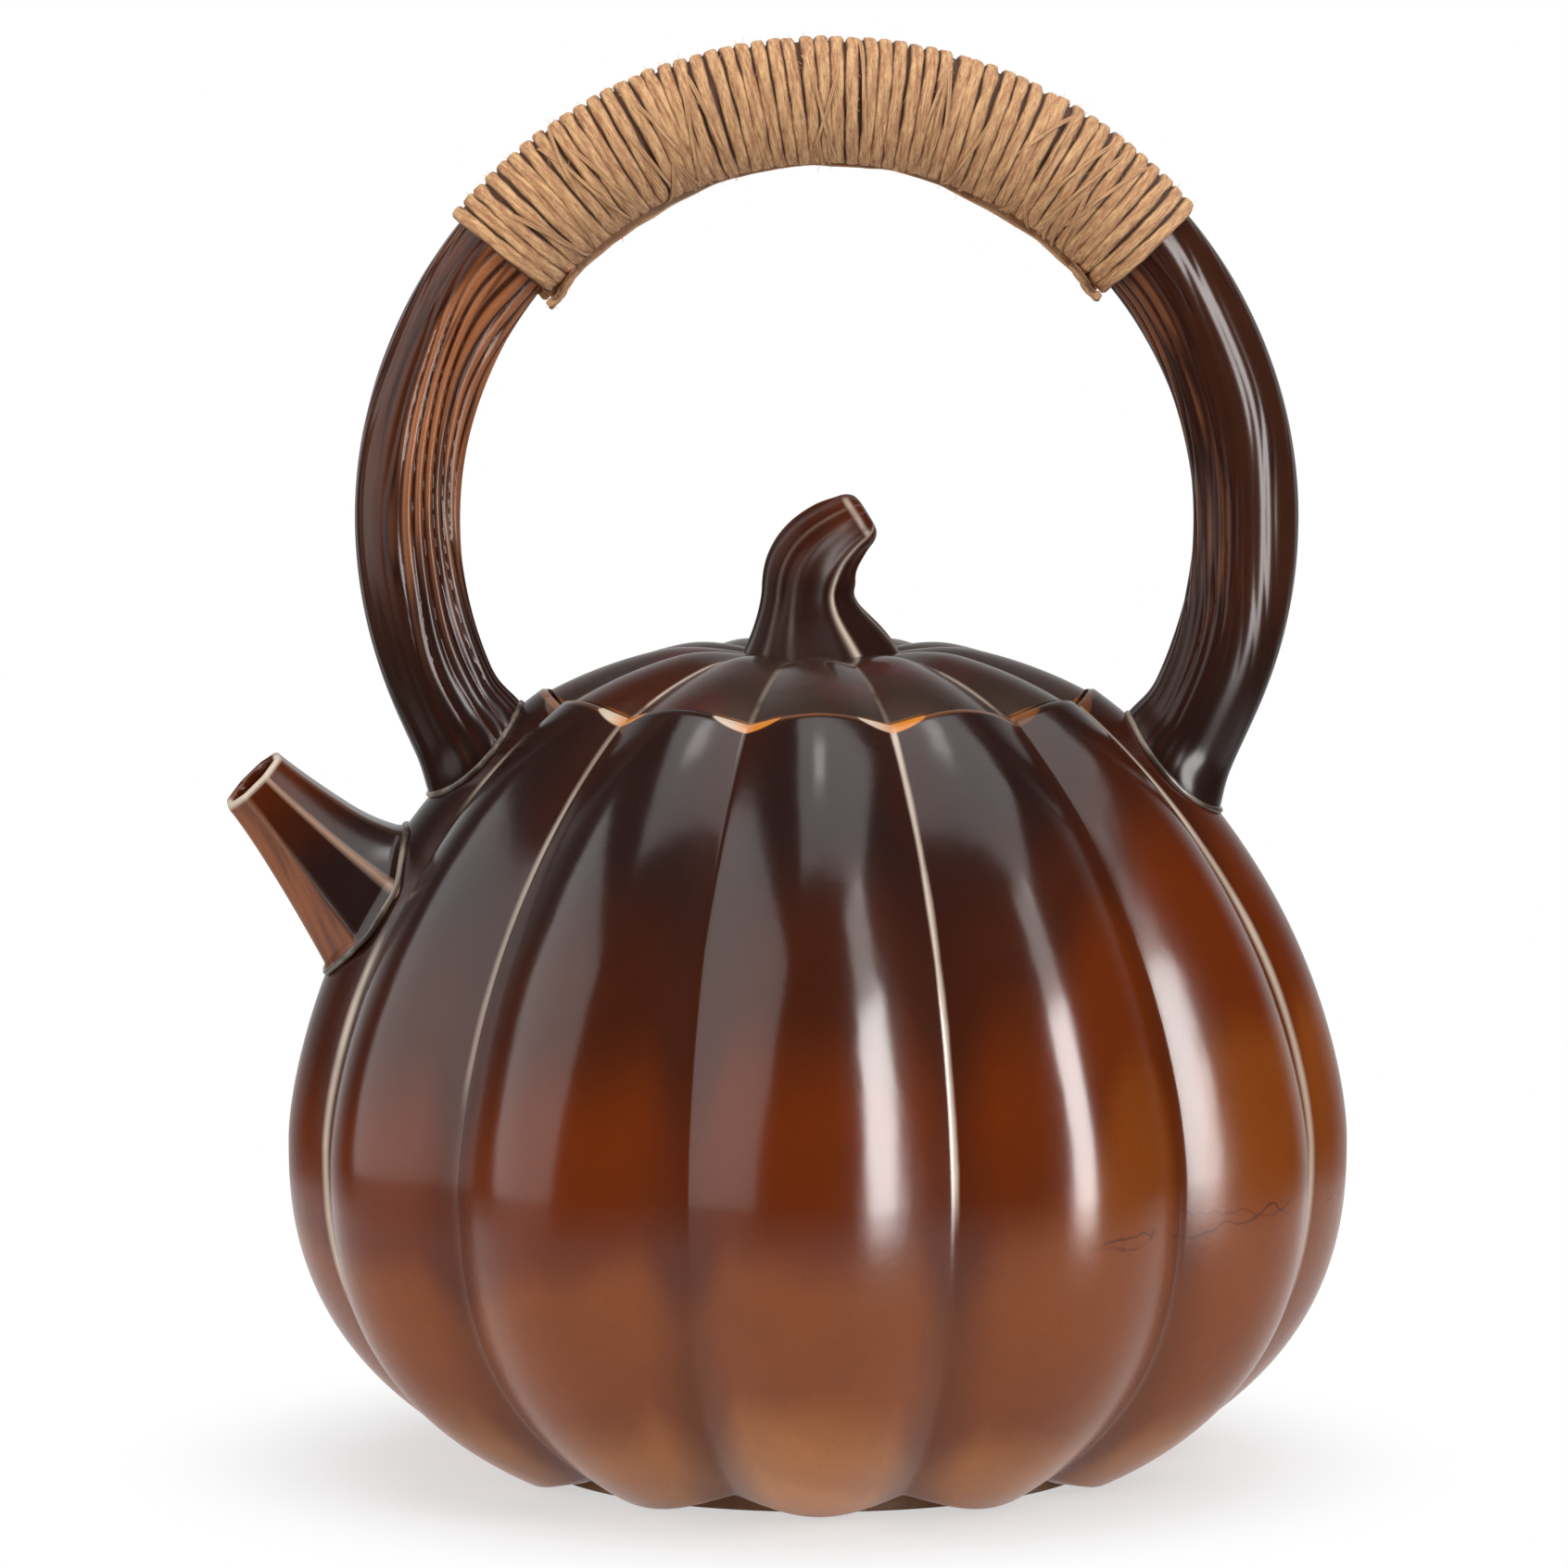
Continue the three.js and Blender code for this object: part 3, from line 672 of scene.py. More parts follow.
def body_material(glaze, body):
    """Dark glaze that melts to amber, caramel and ochre down the pot, and breaks on its edges; the ochre is
    lightened as painted bounce light from the table, and the cream lines in the grooves and along the rim are
    partly painted highlight.
    """
    material, tree, surface = new_material("melted_brown_glaze")
    here = on_axis(tree)
    parts = add(tree, "ShaderNodeSeparateXYZ", {0: here}).outputs
    lobes = {"Lobes": body.lobes, "Sharpness": body.sharpness}
    grooves = use_group(tree, "Lobe Grooves", **lobes, Hollow_Width=0.0065)
    speckle = use_group(tree, "Kiln Speckle", Specks=0.35)
    ripple = use_group(tree, "Glaze Ripple", Wave_Height=0.00016, Peel_Height=0.000005)
    # The ochre at the foot is partly thin glaze and partly painted bounce light from the table.
    stops = [
        (0.02, glaze.ochre),
        (0.10, blend_of(glaze.caramel, glaze.ochre, 0.45)),
        (0.20, glaze.caramel),
        (0.32, glaze.caramel),
        (0.41, glaze.amber),
        (0.52, glaze.amber),
        (0.69, glaze.waist),
        (0.86, glaze.shoulder),
    ]
    base = colour_run(tree, melt_level(tree, here, parts, grooves, body), stops)
    base = specked(tree, base, speckle["Shade"], speckle["Specks"], glaze.waist, 0.1)
    base = blended(tree, times(tree, craze_lines(tree, here, parts), 0.75), base, glaze.waist)
    base = blended(tree, times(tree, grooves["Hollow"], 0.4), base, glaze.waist)
    broken = ranged(tree, grain(tree, here, 42.0, 3.0), 0.42, 0.6)
    # Cream lines in the grooves: partly glaze that breaks, partly a painted highlight of the lamps in the
    # creases.
    edge = times(tree, grooves["Line"], point_mark(tree, "vein_and_glint"))
    edge = times(tree, edge, times_add(tree, broken, 0.25, 0.75))
    base = blended(tree, edge, base, glaze.cream)
    base = lip_glaze_and_highlight(tree, base, parts, grooves, broken, glaze, body)

    rough = ranged(tree, parts["Z"], 0.030, 0.056, 0.235, 0.14)
    rough = times_add(tree, ripple["Peel"], 0.05, rough)
    weave = grain(tree, here, 900.0, 1.0)
    satin = times(tree, ranged(tree, parts["Z"], 0.044, 0.032), 0.00005)
    height = times_add(tree, weave, satin, ripple["Height"])
    feed_surface(tree, surface, base, rough, height, 0.6, GLAZE_IOR)
    return material


def melt_level(tree, here, parts, grooves, body):
    """Height as the melted glaze shows it, from 0 at the foot to 1 at the rim."""
    runs = grain(tree, stretched(tree, here, 1.0, 1.0, 0.22), 75.0, 4.0)
    patches = grain(tree, here, 16.0, 2.0)
    level = maths(tree, "DIVIDE", parts["Z"], body.rim_height)
    level = times_add(tree, centred(tree, runs), 0.08, level)
    level = times_add(tree, centred(tree, patches), 0.16, level)
    level = times_add(tree, grooves["Hollow"], 0.07, level)
    tilt = ranged(tree, parts["Z"], 0.012, 0.045, -0.3, -1.5)
    level = maths(tree, "ADD", level, times(tree, parts["X"], tilt))
    beside = ranged(tree, maths(tree, "ABSOLUTE", parts["X"]), 0.008, 0.028, 0.0, 0.05)
    low = ranged(tree, parts["Z"], 0.030, 0.010)
    level = times_add(tree, beside, low, level)
    thin_side = ranged(tree, parts["X"], 0.026, 0.040)
    high = ranged(tree, parts["Z"], 0.030, 0.060)
    return times_add(tree, times(tree, thin_side, high), -0.16, level)


def lip_glaze_and_highlight(tree, base, parts, grooves, broken, glaze, body):
    """A pale line along the rim, painted as its highlight, and a crescent where the rim dips: orange where
    the glaze breaks, cream on its left part as a painted highlight.
    """
    half_width = 0.0047
    deepest = 0.0009
    drop = -body.rim_groove * rim_slope(body)[1]
    rim = times_add(tree, grooves["Share"], drop, body.rim_height)
    below_rim = maths(tree, "SUBTRACT", rim, parts["Z"])
    middle = maths(tree, "POWER", maths(tree, "DIVIDE", grooves["Away"], half_width), 2.0)
    lens = times(tree, maths(tree, "SUBTRACT", 1.0, middle), deepest)
    crescent = ranged(tree, maths(tree, "SUBTRACT", below_rim, lens), 0.00012, -0.00012)
    crescent = times(tree, crescent, ranged(tree, lens, 0.0, 0.0002))
    # Painted highlight: a pale line along the rim's edge.
    rim_highlight = times(tree, ranged(tree, below_rim, 0.0004, 0.0001), broken)
    base = blended(tree, times(tree, rim_highlight, 0.45), base, glaze.bark_light)
    # The crescent is cream on its left part as a painted highlight, and orange where the glaze breaks.
    melt_and_highlight = blended(tree, ranged(tree, grooves["Away"], -0.003, 0.0015), glaze.cream, glaze.orange)
    return blended(tree, times(tree, crescent, point_mark(tree, "lip")), base, melt_and_highlight)


def craze_lines(tree, here, parts):
    """Thin dark cracks that wander round the belly, where the glaze turns from gloss to satin."""
    middle_height = 0.0362
    rise_to_right = 0.05
    half_width = 0.00028
    wave = centred(tree, grain(tree, here, 38.0, 4.0, 0.7))
    level = maths(tree, "SUBTRACT", parts["Z"], times_add(tree, parts["X"], rise_to_right, middle_height))
    cracks = []
    for drift, strength in ((0.016, 1.0), (-0.022, 0.7)):
        line = maths(tree, "ABSOLUTE", times_add(tree, wave, drift, level))
        cracks.append(times(tree, ranged(tree, line, half_width, 0.0), strength))
    broken = ranged(tree, grain(tree, here, 65.0, 3.0), 0.47, 0.56)
    toward_right = ranged(tree, parts["X"], -0.008, 0.012)
    return times(tree, maths(tree, "MAXIMUM", *cracks), times(tree, broken, toward_right))


def blend_of(first, second, amount):
    return tuple(a + (b - a) * amount for a, b in zip(first, second))


def lid_material(glaze, body):
    """The darkest glaze, with cream lines along its grooves that are partly glaze that breaks and partly
    painted highlight.
    """
    material, tree, surface = new_material("dark_lid_glaze")
    here = on_axis(tree)
    lobes = {"Lobes": body.lobes, "Sharpness": body.sharpness}
    grooves = use_group(tree, "Lobe Grooves", **lobes, Line_Width=0.00055, Hollow_Width=0.004)
    speckle = use_group(tree, "Kiln Speckle", Specks=0.2)
    ripple = use_group(tree, "Glaze Ripple", Wave_Height=0.00022)
    patches = ranged(tree, grain(tree, here, 70.0, 3.0), 0.45, 0.7)
    greenish = tuple(value * tint for value, tint in zip(glaze.shoulder, (1.9, 2.8, 2.5)))
    plum = tuple(value * tint for value, tint in zip(glaze.shoulder, (3.1, 2.2, 2.3)))
    base = blended(tree, patches, greenish, plum)
    base = blended(tree, times(tree, point_mark(tree, "red"), 0.8), base, glaze.waist)
    base = specked(tree, base, speckle["Shade"], speckle["Specks"], glaze.shoulder)
    broken = ranged(tree, grain(tree, here, 120.0, 3.0), 0.3, 0.5)
    # Cream lines in the grooves: partly glaze that breaks, partly a painted highlight.
    vein_and_glint = times(tree, times(tree, grooves["Line"], broken), point_mark(tree, "vein_and_glint"))
    base = blended(tree, times(tree, vein_and_glint, 0.9), base, glaze.cream)
    edge = times(tree, point_mark(tree, "edge"), broken)
    base = blended(tree, times(tree, edge, 0.7), base, glaze.orange)
    rough = times_add(tree, ripple["Peel"], 0.08, 0.15)
    feed_surface(tree, surface, base, rough, ripple["Height"], 0.6, GLAZE_IOR)
    return material


def ribbed_material(glaze):
    """Dark stem glaze that turns red-brown toward the cut end, with cream painted on the ribs and round the
    cut end as their highlight.
    """
    material, tree, surface = new_material("ribbed_stem_glaze")
    here = on_axis(tree)
    speckle = use_group(tree, "Kiln Speckle", Specks=0.2)
    ripple = use_group(tree, "Glaze Ripple", Wave_Height=0.00012)
    upward = point_mark(tree, "along")
    base = colour_run(
        tree,
        upward,
        [
            (0.0, blend_of(glaze.shoulder, glaze.bark_dark, 0.2)),
            (0.45, blend_of(glaze.shoulder, glaze.bark_dark, 0.5)),
            (0.7, blend_of(glaze.bark_dark, glaze.waist, 0.6)),
            (1.0, blend_of(glaze.waist, glaze.amber, 0.5)),
        ],
    )
    base = specked(tree, base, speckle["Shade"], speckle["Specks"], glaze.shoulder)
    broken = ranged(tree, grain(tree, here, 110.0, 2.0), 0.35, 0.55)
    broken = times_add(tree, broken, 0.4, 0.6)
    # Painted highlight: cream along the ribs and round the cut end.
    crest = times(tree, point_mark(tree, "crest"), broken)
    base = blended(tree, times(tree, crest, 0.95), base, glaze.cream)
    rough = times_add(tree, ripple["Peel"], 0.08, 0.3)
    feed_surface(tree, surface, base, rough, ripple["Height"], 0.6, STEM_IOR)
    return material


def bark_material(glaze):
    """Glaze over bark ridges: light and thin inside the arch, dark outside and at the feet."""
    material, tree, surface = new_material("bark_handle_glaze")
    here = on_axis(tree)
    speckle = use_group(tree, "Kiln Speckle", Specks=0.25)
    ripple = use_group(tree, "Glaze Ripple", Wave_Height=0.00018)
    inward = point_mark(tree, "inward")
    valley = point_mark(tree, "valley")
    parts = add(tree, "ShaderNodeSeparateXYZ", {0: here}).outputs
    drips = grain(tree, stretched(tree, here, 1.0, 1.0, 0.3), 140.0, 4.0)
    high = ranged(tree, parts["Z"], 0.095, 0.140)
    thin = times_add(tree, centred(tree, drips), 0.5, inward)
    thin = times_add(tree, point_mark(tree, "stripe"), 0.95, thin)
    thin = maths(tree, "ADD", thin, ranged(tree, parts["X"], -0.02, 0.02, 0.0, -0.36))
    thin = times(tree, thin, times_add(tree, high, 0.6, 0.4))
    # Mid brown for the outer side of the arch, between the shoulder and the caramel.
    outer_side_brown = blend_of(glaze.shoulder, glaze.caramel, 0.3)
    base = colour_run(
        tree,
        thin,
        [
            (0.05, outer_side_brown),
            (0.3, blend_of(glaze.shoulder, glaze.bark_dark, 0.7)),
            (0.6, blend_of(glaze.bark_dark, glaze.bark_light, 0.35)),
            (0.95, glaze.bark_light),
        ],
    )
    right = ranged(tree, parts["X"], 0.0, 0.03, 0.0, 0.55)
    dim = maths(tree, "MAXIMUM", maths(tree, "SUBTRACT", 1.0, high), right)
    base = blended(tree, dim, base, glaze.shoulder, "DARKEN")
    base = specked(tree, base, speckle["Shade"], speckle["Specks"], glaze.shoulder)
    dark = times(tree, ranged(tree, valley, 0.2, 0.8), times(tree, inward, 0.9))
    base = blended(tree, dark, base, glaze.bark_dark)
    rough = ranged(tree, parts["Z"], 0.120, 0.165, 0.23, 0.19)
    rough = times_add(tree, inward, 0.04, rough)
    feed_surface(tree, surface, base, rough, ripple["Height"], 0.4, BARK_IOR)
    return material


def spout_material(glaze):
    """Glaze that is amber at the spout's mouth and dark at its root, pale on the arrises where it breaks,
    with painted highlights on the front arris and the near side of the lip.
    """
    material, tree, surface = new_material("spout_glaze")
    here = on_axis(tree)
    speckle = use_group(tree, "Kiln Speckle", Specks=0.3)
    ripple = use_group(tree, "Glaze Ripple", Wave_Height=0.0001)
    along = point_mark(tree, "along")
    under = point_mark(tree, "under")
    patches = grain(tree, here, 90.0, 3.0)
    stops = [(0.0, blend_of(glaze.waist, glaze.amber, 0.6)), (0.35, glaze.waist), (0.8, glaze.shoulder)]
    base = colour_run(tree, times_add(tree, centred(tree, patches), 0.5, along), stops)
    lay = add(tree, "ShaderNodeCombineXYZ", {"X": times(tree, along, 1.5)}).outputs[0]
    lay = add(tree, "ShaderNodeVectorMath", {0: lay, 1: stretched(tree, here, 40.0, 900.0, 40.0)})
    streaks = ranged(tree, grain(tree, lay.outputs[0], 1.0, 3.0), 0.35, 0.65)
    dark_tan = blend_of(glaze.caramel, glaze.shoulder, 0.4)
    tan = blended(tree, streaks, dark_tan, blend_of(glaze.caramel, glaze.ochre, 0.1))
    base = blended(tree, times(tree, under, 0.9), base, tan)
    base = specked(tree, base, speckle["Shade"], speckle["Specks"], glaze.shoulder)
    # Pale on every arris where the glaze breaks, much stronger on the front arris as a painted highlight.
    arris = times(tree, point_mark(tree, "arris"), 0.8)
    base = blended(tree, arris, base, blend_of(glaze.bark_light, glaze.cream, 0.5))
    # Painted highlight on the near side of the lip.
    base = blended(tree, point_mark(tree, "lip"), base, glaze.cream)
    rough = times_add(tree, under, 0.25, 0.15)
    feed_surface(tree, surface, base, rough, ripple["Height"], 0.6, GLAZE_IOR)
    return material


def seam_material(glaze):
    """Dark glaze on a thin roll of slip, with pale patches here and there that are partly glaze that breaks
    and partly a painted highlight along the join.
    """
    material, tree, surface = new_material("seam_glaze_with_painted_highlight")
    here = on_axis(tree)
    speckle = use_group(tree, "Kiln Speckle", Specks=0.2)
    broken = ranged(tree, grain(tree, here, 160.0, 3.0), 0.4, 0.62)
    # Pale patches: partly glaze that breaks, partly painted highlight along the join.
    pale = blend_of(glaze.shoulder, glaze.cream, 0.4)
    base = blended(tree, broken, blend_of(glaze.shoulder, glaze.cream, 0.06), pale)
    base = specked(tree, base, speckle["Shade"], speckle["Specks"], glaze.shoulder)
    rough = ranged(tree, speckle["Shade"], 0.3, 0.7, 0.14, 0.24)
    feed_surface(tree, surface, base, rough)
    return material


def clay_material(glaze):
    """Bare fired clay with the fine rings that turning leaves."""
    material, tree, surface = new_material("bare_fired_clay")
    here = on_axis(tree)
    speckle = use_group(tree, "Kiln Speckle", Speck_Scale=1500.0, Specks=0.6)
    flat = stretched(tree, here, 1.0, 1.0, 0.0)
    radius = add(tree, "ShaderNodeVectorMath", {0: flat}, operation="LENGTH").outputs["Value"]
    rings = maths(tree, "SINE", times(tree, radius, 9000.0))
    base = colour_run(tree, speckle["Shade"], [(0.0, glaze.caramel), (0.6, glaze.bare_clay)])
    base = specked(tree, base, speckle["Shade"], speckle["Specks"], glaze.waist)
    height = times(tree, rings, 0.00001)
    rough = ranged(tree, speckle["Shade"], 0.3, 0.7, 0.7, 0.9)
    feed_surface(tree, surface, base, rough, height)
    return material


def inner_material(glaze):
    """Plain amber liner glaze of the hidden pieces."""
    material, tree, surface = new_material("amber_liner_glaze")
    speckle = use_group(tree, "Kiln Speckle", Specks=0.4)
    ripple = use_group(tree, "Glaze Ripple")
    base = colour_run(tree, speckle["Shade"], [(0.3, glaze.waist), (0.65, glaze.amber)])
    base = specked(tree, base, speckle["Shade"], speckle["Specks"], glaze.shoulder)
    rough = times_add(tree, ripple["Peel"], 0.1, 0.18)
    feed_surface(tree, surface, base, rough, ripple["Height"], 0.6)
    return material


def twine_material(fibre):
    """Dry plant fibre in fine streaks along the strand, with painted shade between its plies, at the sides of
    each strand and over the whole under layer.
    """
    material, tree, surface = new_material("jute_twine")
    along = point_mark(tree, "along")
    hollow = point_mark(tree, "hollow")
    side = point_mark(tree, "side")
    spiral = times_add(tree, along, 260.0, times(tree, side, 2.2))
    lengthwise = times(tree, along, 620.0)
    lay = add(tree, "ShaderNodeCombineXYZ", {"X": lengthwise, "Y": times(tree, side, 3.6)})
    streaks = grain(tree, lay.outputs[0], 1.0, 5.0, 0.75)
    tone = grain(tree, add(tree, "ShaderNodeCombineXYZ", {"X": spiral}).outputs[0], 0.5, 2.0)
    mixed = times_add(tree, streaks, 0.6, times(tree, tone, 0.4))
    base = colour_run(tree, mixed, [(0.36, fibre.dark), (0.6, fibre.light)])
    # Painted shade: darker in the groove between the plies, at the sides of each strand, and over the whole
    # under layer.
    base = blended(tree, times(tree, hollow, 0.55), base, fibre.dark)
    beside = ranged(tree, maths(tree, "ABSOLUTE", side), 0.72, 1.0)
    base = blended(tree, times(tree, beside, 0.75), base, fibre.painted_shade_fibre)
    base = blended(tree, point_mark(tree, "painted_shade_fibre"), base, fibre.painted_shade_fibre)
    rough = ranged(tree, streaks, 0.3, 0.7, 0.8, 0.95)
    height = times(tree, streaks, 0.0003)
    feed_surface(tree, surface, base, rough, height, 0.8)
    surface.inputs["Sheen Weight"].default_value = 0.05
    surface.inputs["Sheen Roughness"].default_value = 0.5
    return material


def table_material(radius):
    """White table top that keeps the pot's shadow and fades to the plain white round it."""
    material, tree, surface = new_material("white_table")
    here = add(tree, "ShaderNodeTexCoord").outputs["Object"]
    away = add(tree, "ShaderNodeVectorMath", {0: here}, operation="LENGTH").outputs["Value"]
    seen = seen_rays(tree)
    fade = ranged(tree, away, radius * 0.18, radius * 0.35, 0.58, 1.0)
    surface.inputs["Base Color"].default_value = (0.85, 0.85, 0.85, 1)
    surface.inputs["Roughness"].default_value = 0.9
    surface.inputs["Specular IOR Level"].default_value = 0.0
    glow = add(tree, "ShaderNodeEmission", {"Color": (1, 1, 1, 1), "Strength": 1.0}).outputs[0]
    feed = {0: times(tree, seen, fade), 1: surface.outputs[0], 2: glow}
    mixed = add(tree, "ShaderNodeMixShader", feed).outputs[0]
    tree.links.new(mixed, tree.nodes["Material Output"].inputs["Surface"])
    return material


def seen_rays(tree):
    """1 for what the camera sees, straight, mirrored or through glass."""
    path = add(tree, "ShaderNodeLightPath").outputs
    mirrored = maths(tree, "MAXIMUM", path["Is Camera Ray"], path["Is Glossy Ray"])
    return maths(tree, "MAXIMUM", mirrored, path["Is Transmission Ray"])


# Pieces


class TeapotOperator:
    """What every piece's operator shares."""

    bl_options = {"REGISTER", "UNDO"}

    @staticmethod
    def settings(name):
        return getattr(bpy.context.scene, "teapot_" + name)


class TEAPOT_OT_groups(TeapotOperator, bpy.types.Operator):
    """Make the surface effects that the materials share"""

    bl_idname = "teapot.groups"
    bl_label = "Surface Effects"

    def execute(self, context):
        groove_group()
        speckle_group()
        ripple_group()
        return {"FINISHED"}


class TEAPOT_OT_body(TeapotOperator, bpy.types.Operator):
    """Make the lobed pot and its foot ring"""

    bl_idname = "teapot.body"
    bl_label = "Body and Foot"

    def execute(self, context):
        body = self.settings("body")
        glaze = self.settings("glaze")
        self.make_pot(body, glaze)
        self.make_seat(body, glaze)
        self.make_foot(body, glaze)
        return {"FINISHED"}

    def make_pot(self, body, glaze):
        angles = round_angles(body.lobes * (44))
        outer = wall_rows(-1, 1, 170, 0, 1, body)
        across, up = rim_slope(body)
        recess = body.rim_radius - body.lip_width
        under_ledge = body.rim_height - body.ledge_depth - body.ledge_thickness
        lip = [recess, body.rim_height, body.rim_groove, across, up]
        corner = [recess, under_ledge, body.rim_groove, across, 0]
        inside = wall_rows(0.84, -0.8, 60, body.wall, body.inner_lobes, body)
        floor_edge = [inside[-1][0] - 0.005, body.floor_height, 0, 0, 0]
        base = [body.rebate_radius, body.base_height, body.base_groove * 0.8, 0, -1]
        rows = np.vstack(
            [
                [[body.rebate_radius, body.underside, 0, 0, 0]],
                [base],
                outer,
                straight_rows(lip, corner, 14),
                inside,
                [floor_edge],
            ]
        )
        rings = turned(rows, angles, body)
        first = 2
        last = first + len(outer)
        rings[first:last] += self.hand_marks(rings[first:last], body)
        pot = loft("pot_shell", rings)
        mark(pot, "lip", self.lip_crescents(rings, angles))
        veins_and_glints = self.veins_and_glints(rings, angles, body)
        veins_and_glints[last:] = 0
        mark(pot, "vein_and_glint", veins_and_glints)
        pot.data.materials.append(body_material(glaze, body))
        place(pot, "pot", "body_glaze", "pot_body")

    @staticmethod
    def lip_crescents(rings, angles):
        """How strongly the rim's dips show their crescent of broken orange glaze and painted cream highlight,
        the most beside the front lobe.
        """
        full = 1 - 0.85 * ease(np.abs(bearings(angles) + 12), 36, 52)
        return np.broadcast_to(full, rings.shape[:2])

    @staticmethod
    def veins_and_glints(rings, angles, body):
        """How strongly each groove shows its cream line, partly glaze that breaks and partly a painted
        highlight of the lamps: bearing, from, to and strength.
        """
        spans = [(-75, 0.0, 0.68, 1.0), (-75, 0.84, 0.92, 0.8), (-45, 0.5, 1.0, 0.5), (15, 0.38, 1.0, 1.0)]
        spans += [(75, 0.12, 1.0, 1.0), (105, 0.1, 0.9, 0.8), (165, 0.3, 1.0, 0.6), (-135, 0.2, 0.95, 0.7)]
        height = rings[..., 2] / body.rim_height
        bearing = bearings(angles)
        strength = np.zeros(rings.shape[:2])
        for groove, low, high, full in spans:
            near = beside_groove(bearing, groove, body)
            fade = ease(height, low, low + 0.08) * (1 - ease(height, high - 0.04, high + 0.04))
            strength = np.maximum(strength, fade * full * near[None, :])
        return strength

    @staticmethod
    def make_seat(body, glaze):
        gap = 0.0003
        outer = body.rim_radius - body.lip_width - gap
        top = body.rim_height - body.ledge_depth
        sizes = (outer, body.mouth_radius, top - body.ledge_thickness, top)
        rows = ring_section(*sizes, 0.0006, 0.0006, 6, body.rim_groove, rim_slope(body)[0])
        seat = loft("glazed_lid_seat", turned(rows, round_angles(body.lobes * 24), body), closed=True)
        seat.data.materials.append(inner_material(glaze))
        place(seat, "pot", "body_glaze", "lid_seat")

    @staticmethod
    def hand_marks(rings, body):
        """Slow dents, inward only, that fade out at both edges of the wall."""
        inward = -rings / np.linalg.norm(rings[..., :2], axis=-1)[..., None]
        inward[..., 2] = 0
        depth = wander(rings, 0.022, body.hand_wobble) + body.hand_wobble
        fade = np.sin(np.linspace(0, math.pi, len(rings)))[:, None]
        return inward * (depth * fade)[..., None]

    @staticmethod
    def make_foot(body, glaze):
        width = 0.0065
        outer = box_size("foot_ring")[0] / 2
        rows = ring_section(outer, outer - width, 0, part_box("foot_ring")[1][2], 0.0008, 0.0008, 7)
        foot = loft("turned_foot", turned(rows, round_angles(256), body), closed=True)
        foot.data.materials.append(clay_material(glaze))
        place(foot, "pot", "bare_clay", "foot_ring")


# How many of the spout's rings lie on its outside, under the lip
OUTER_SPOUT_ROWS = 70


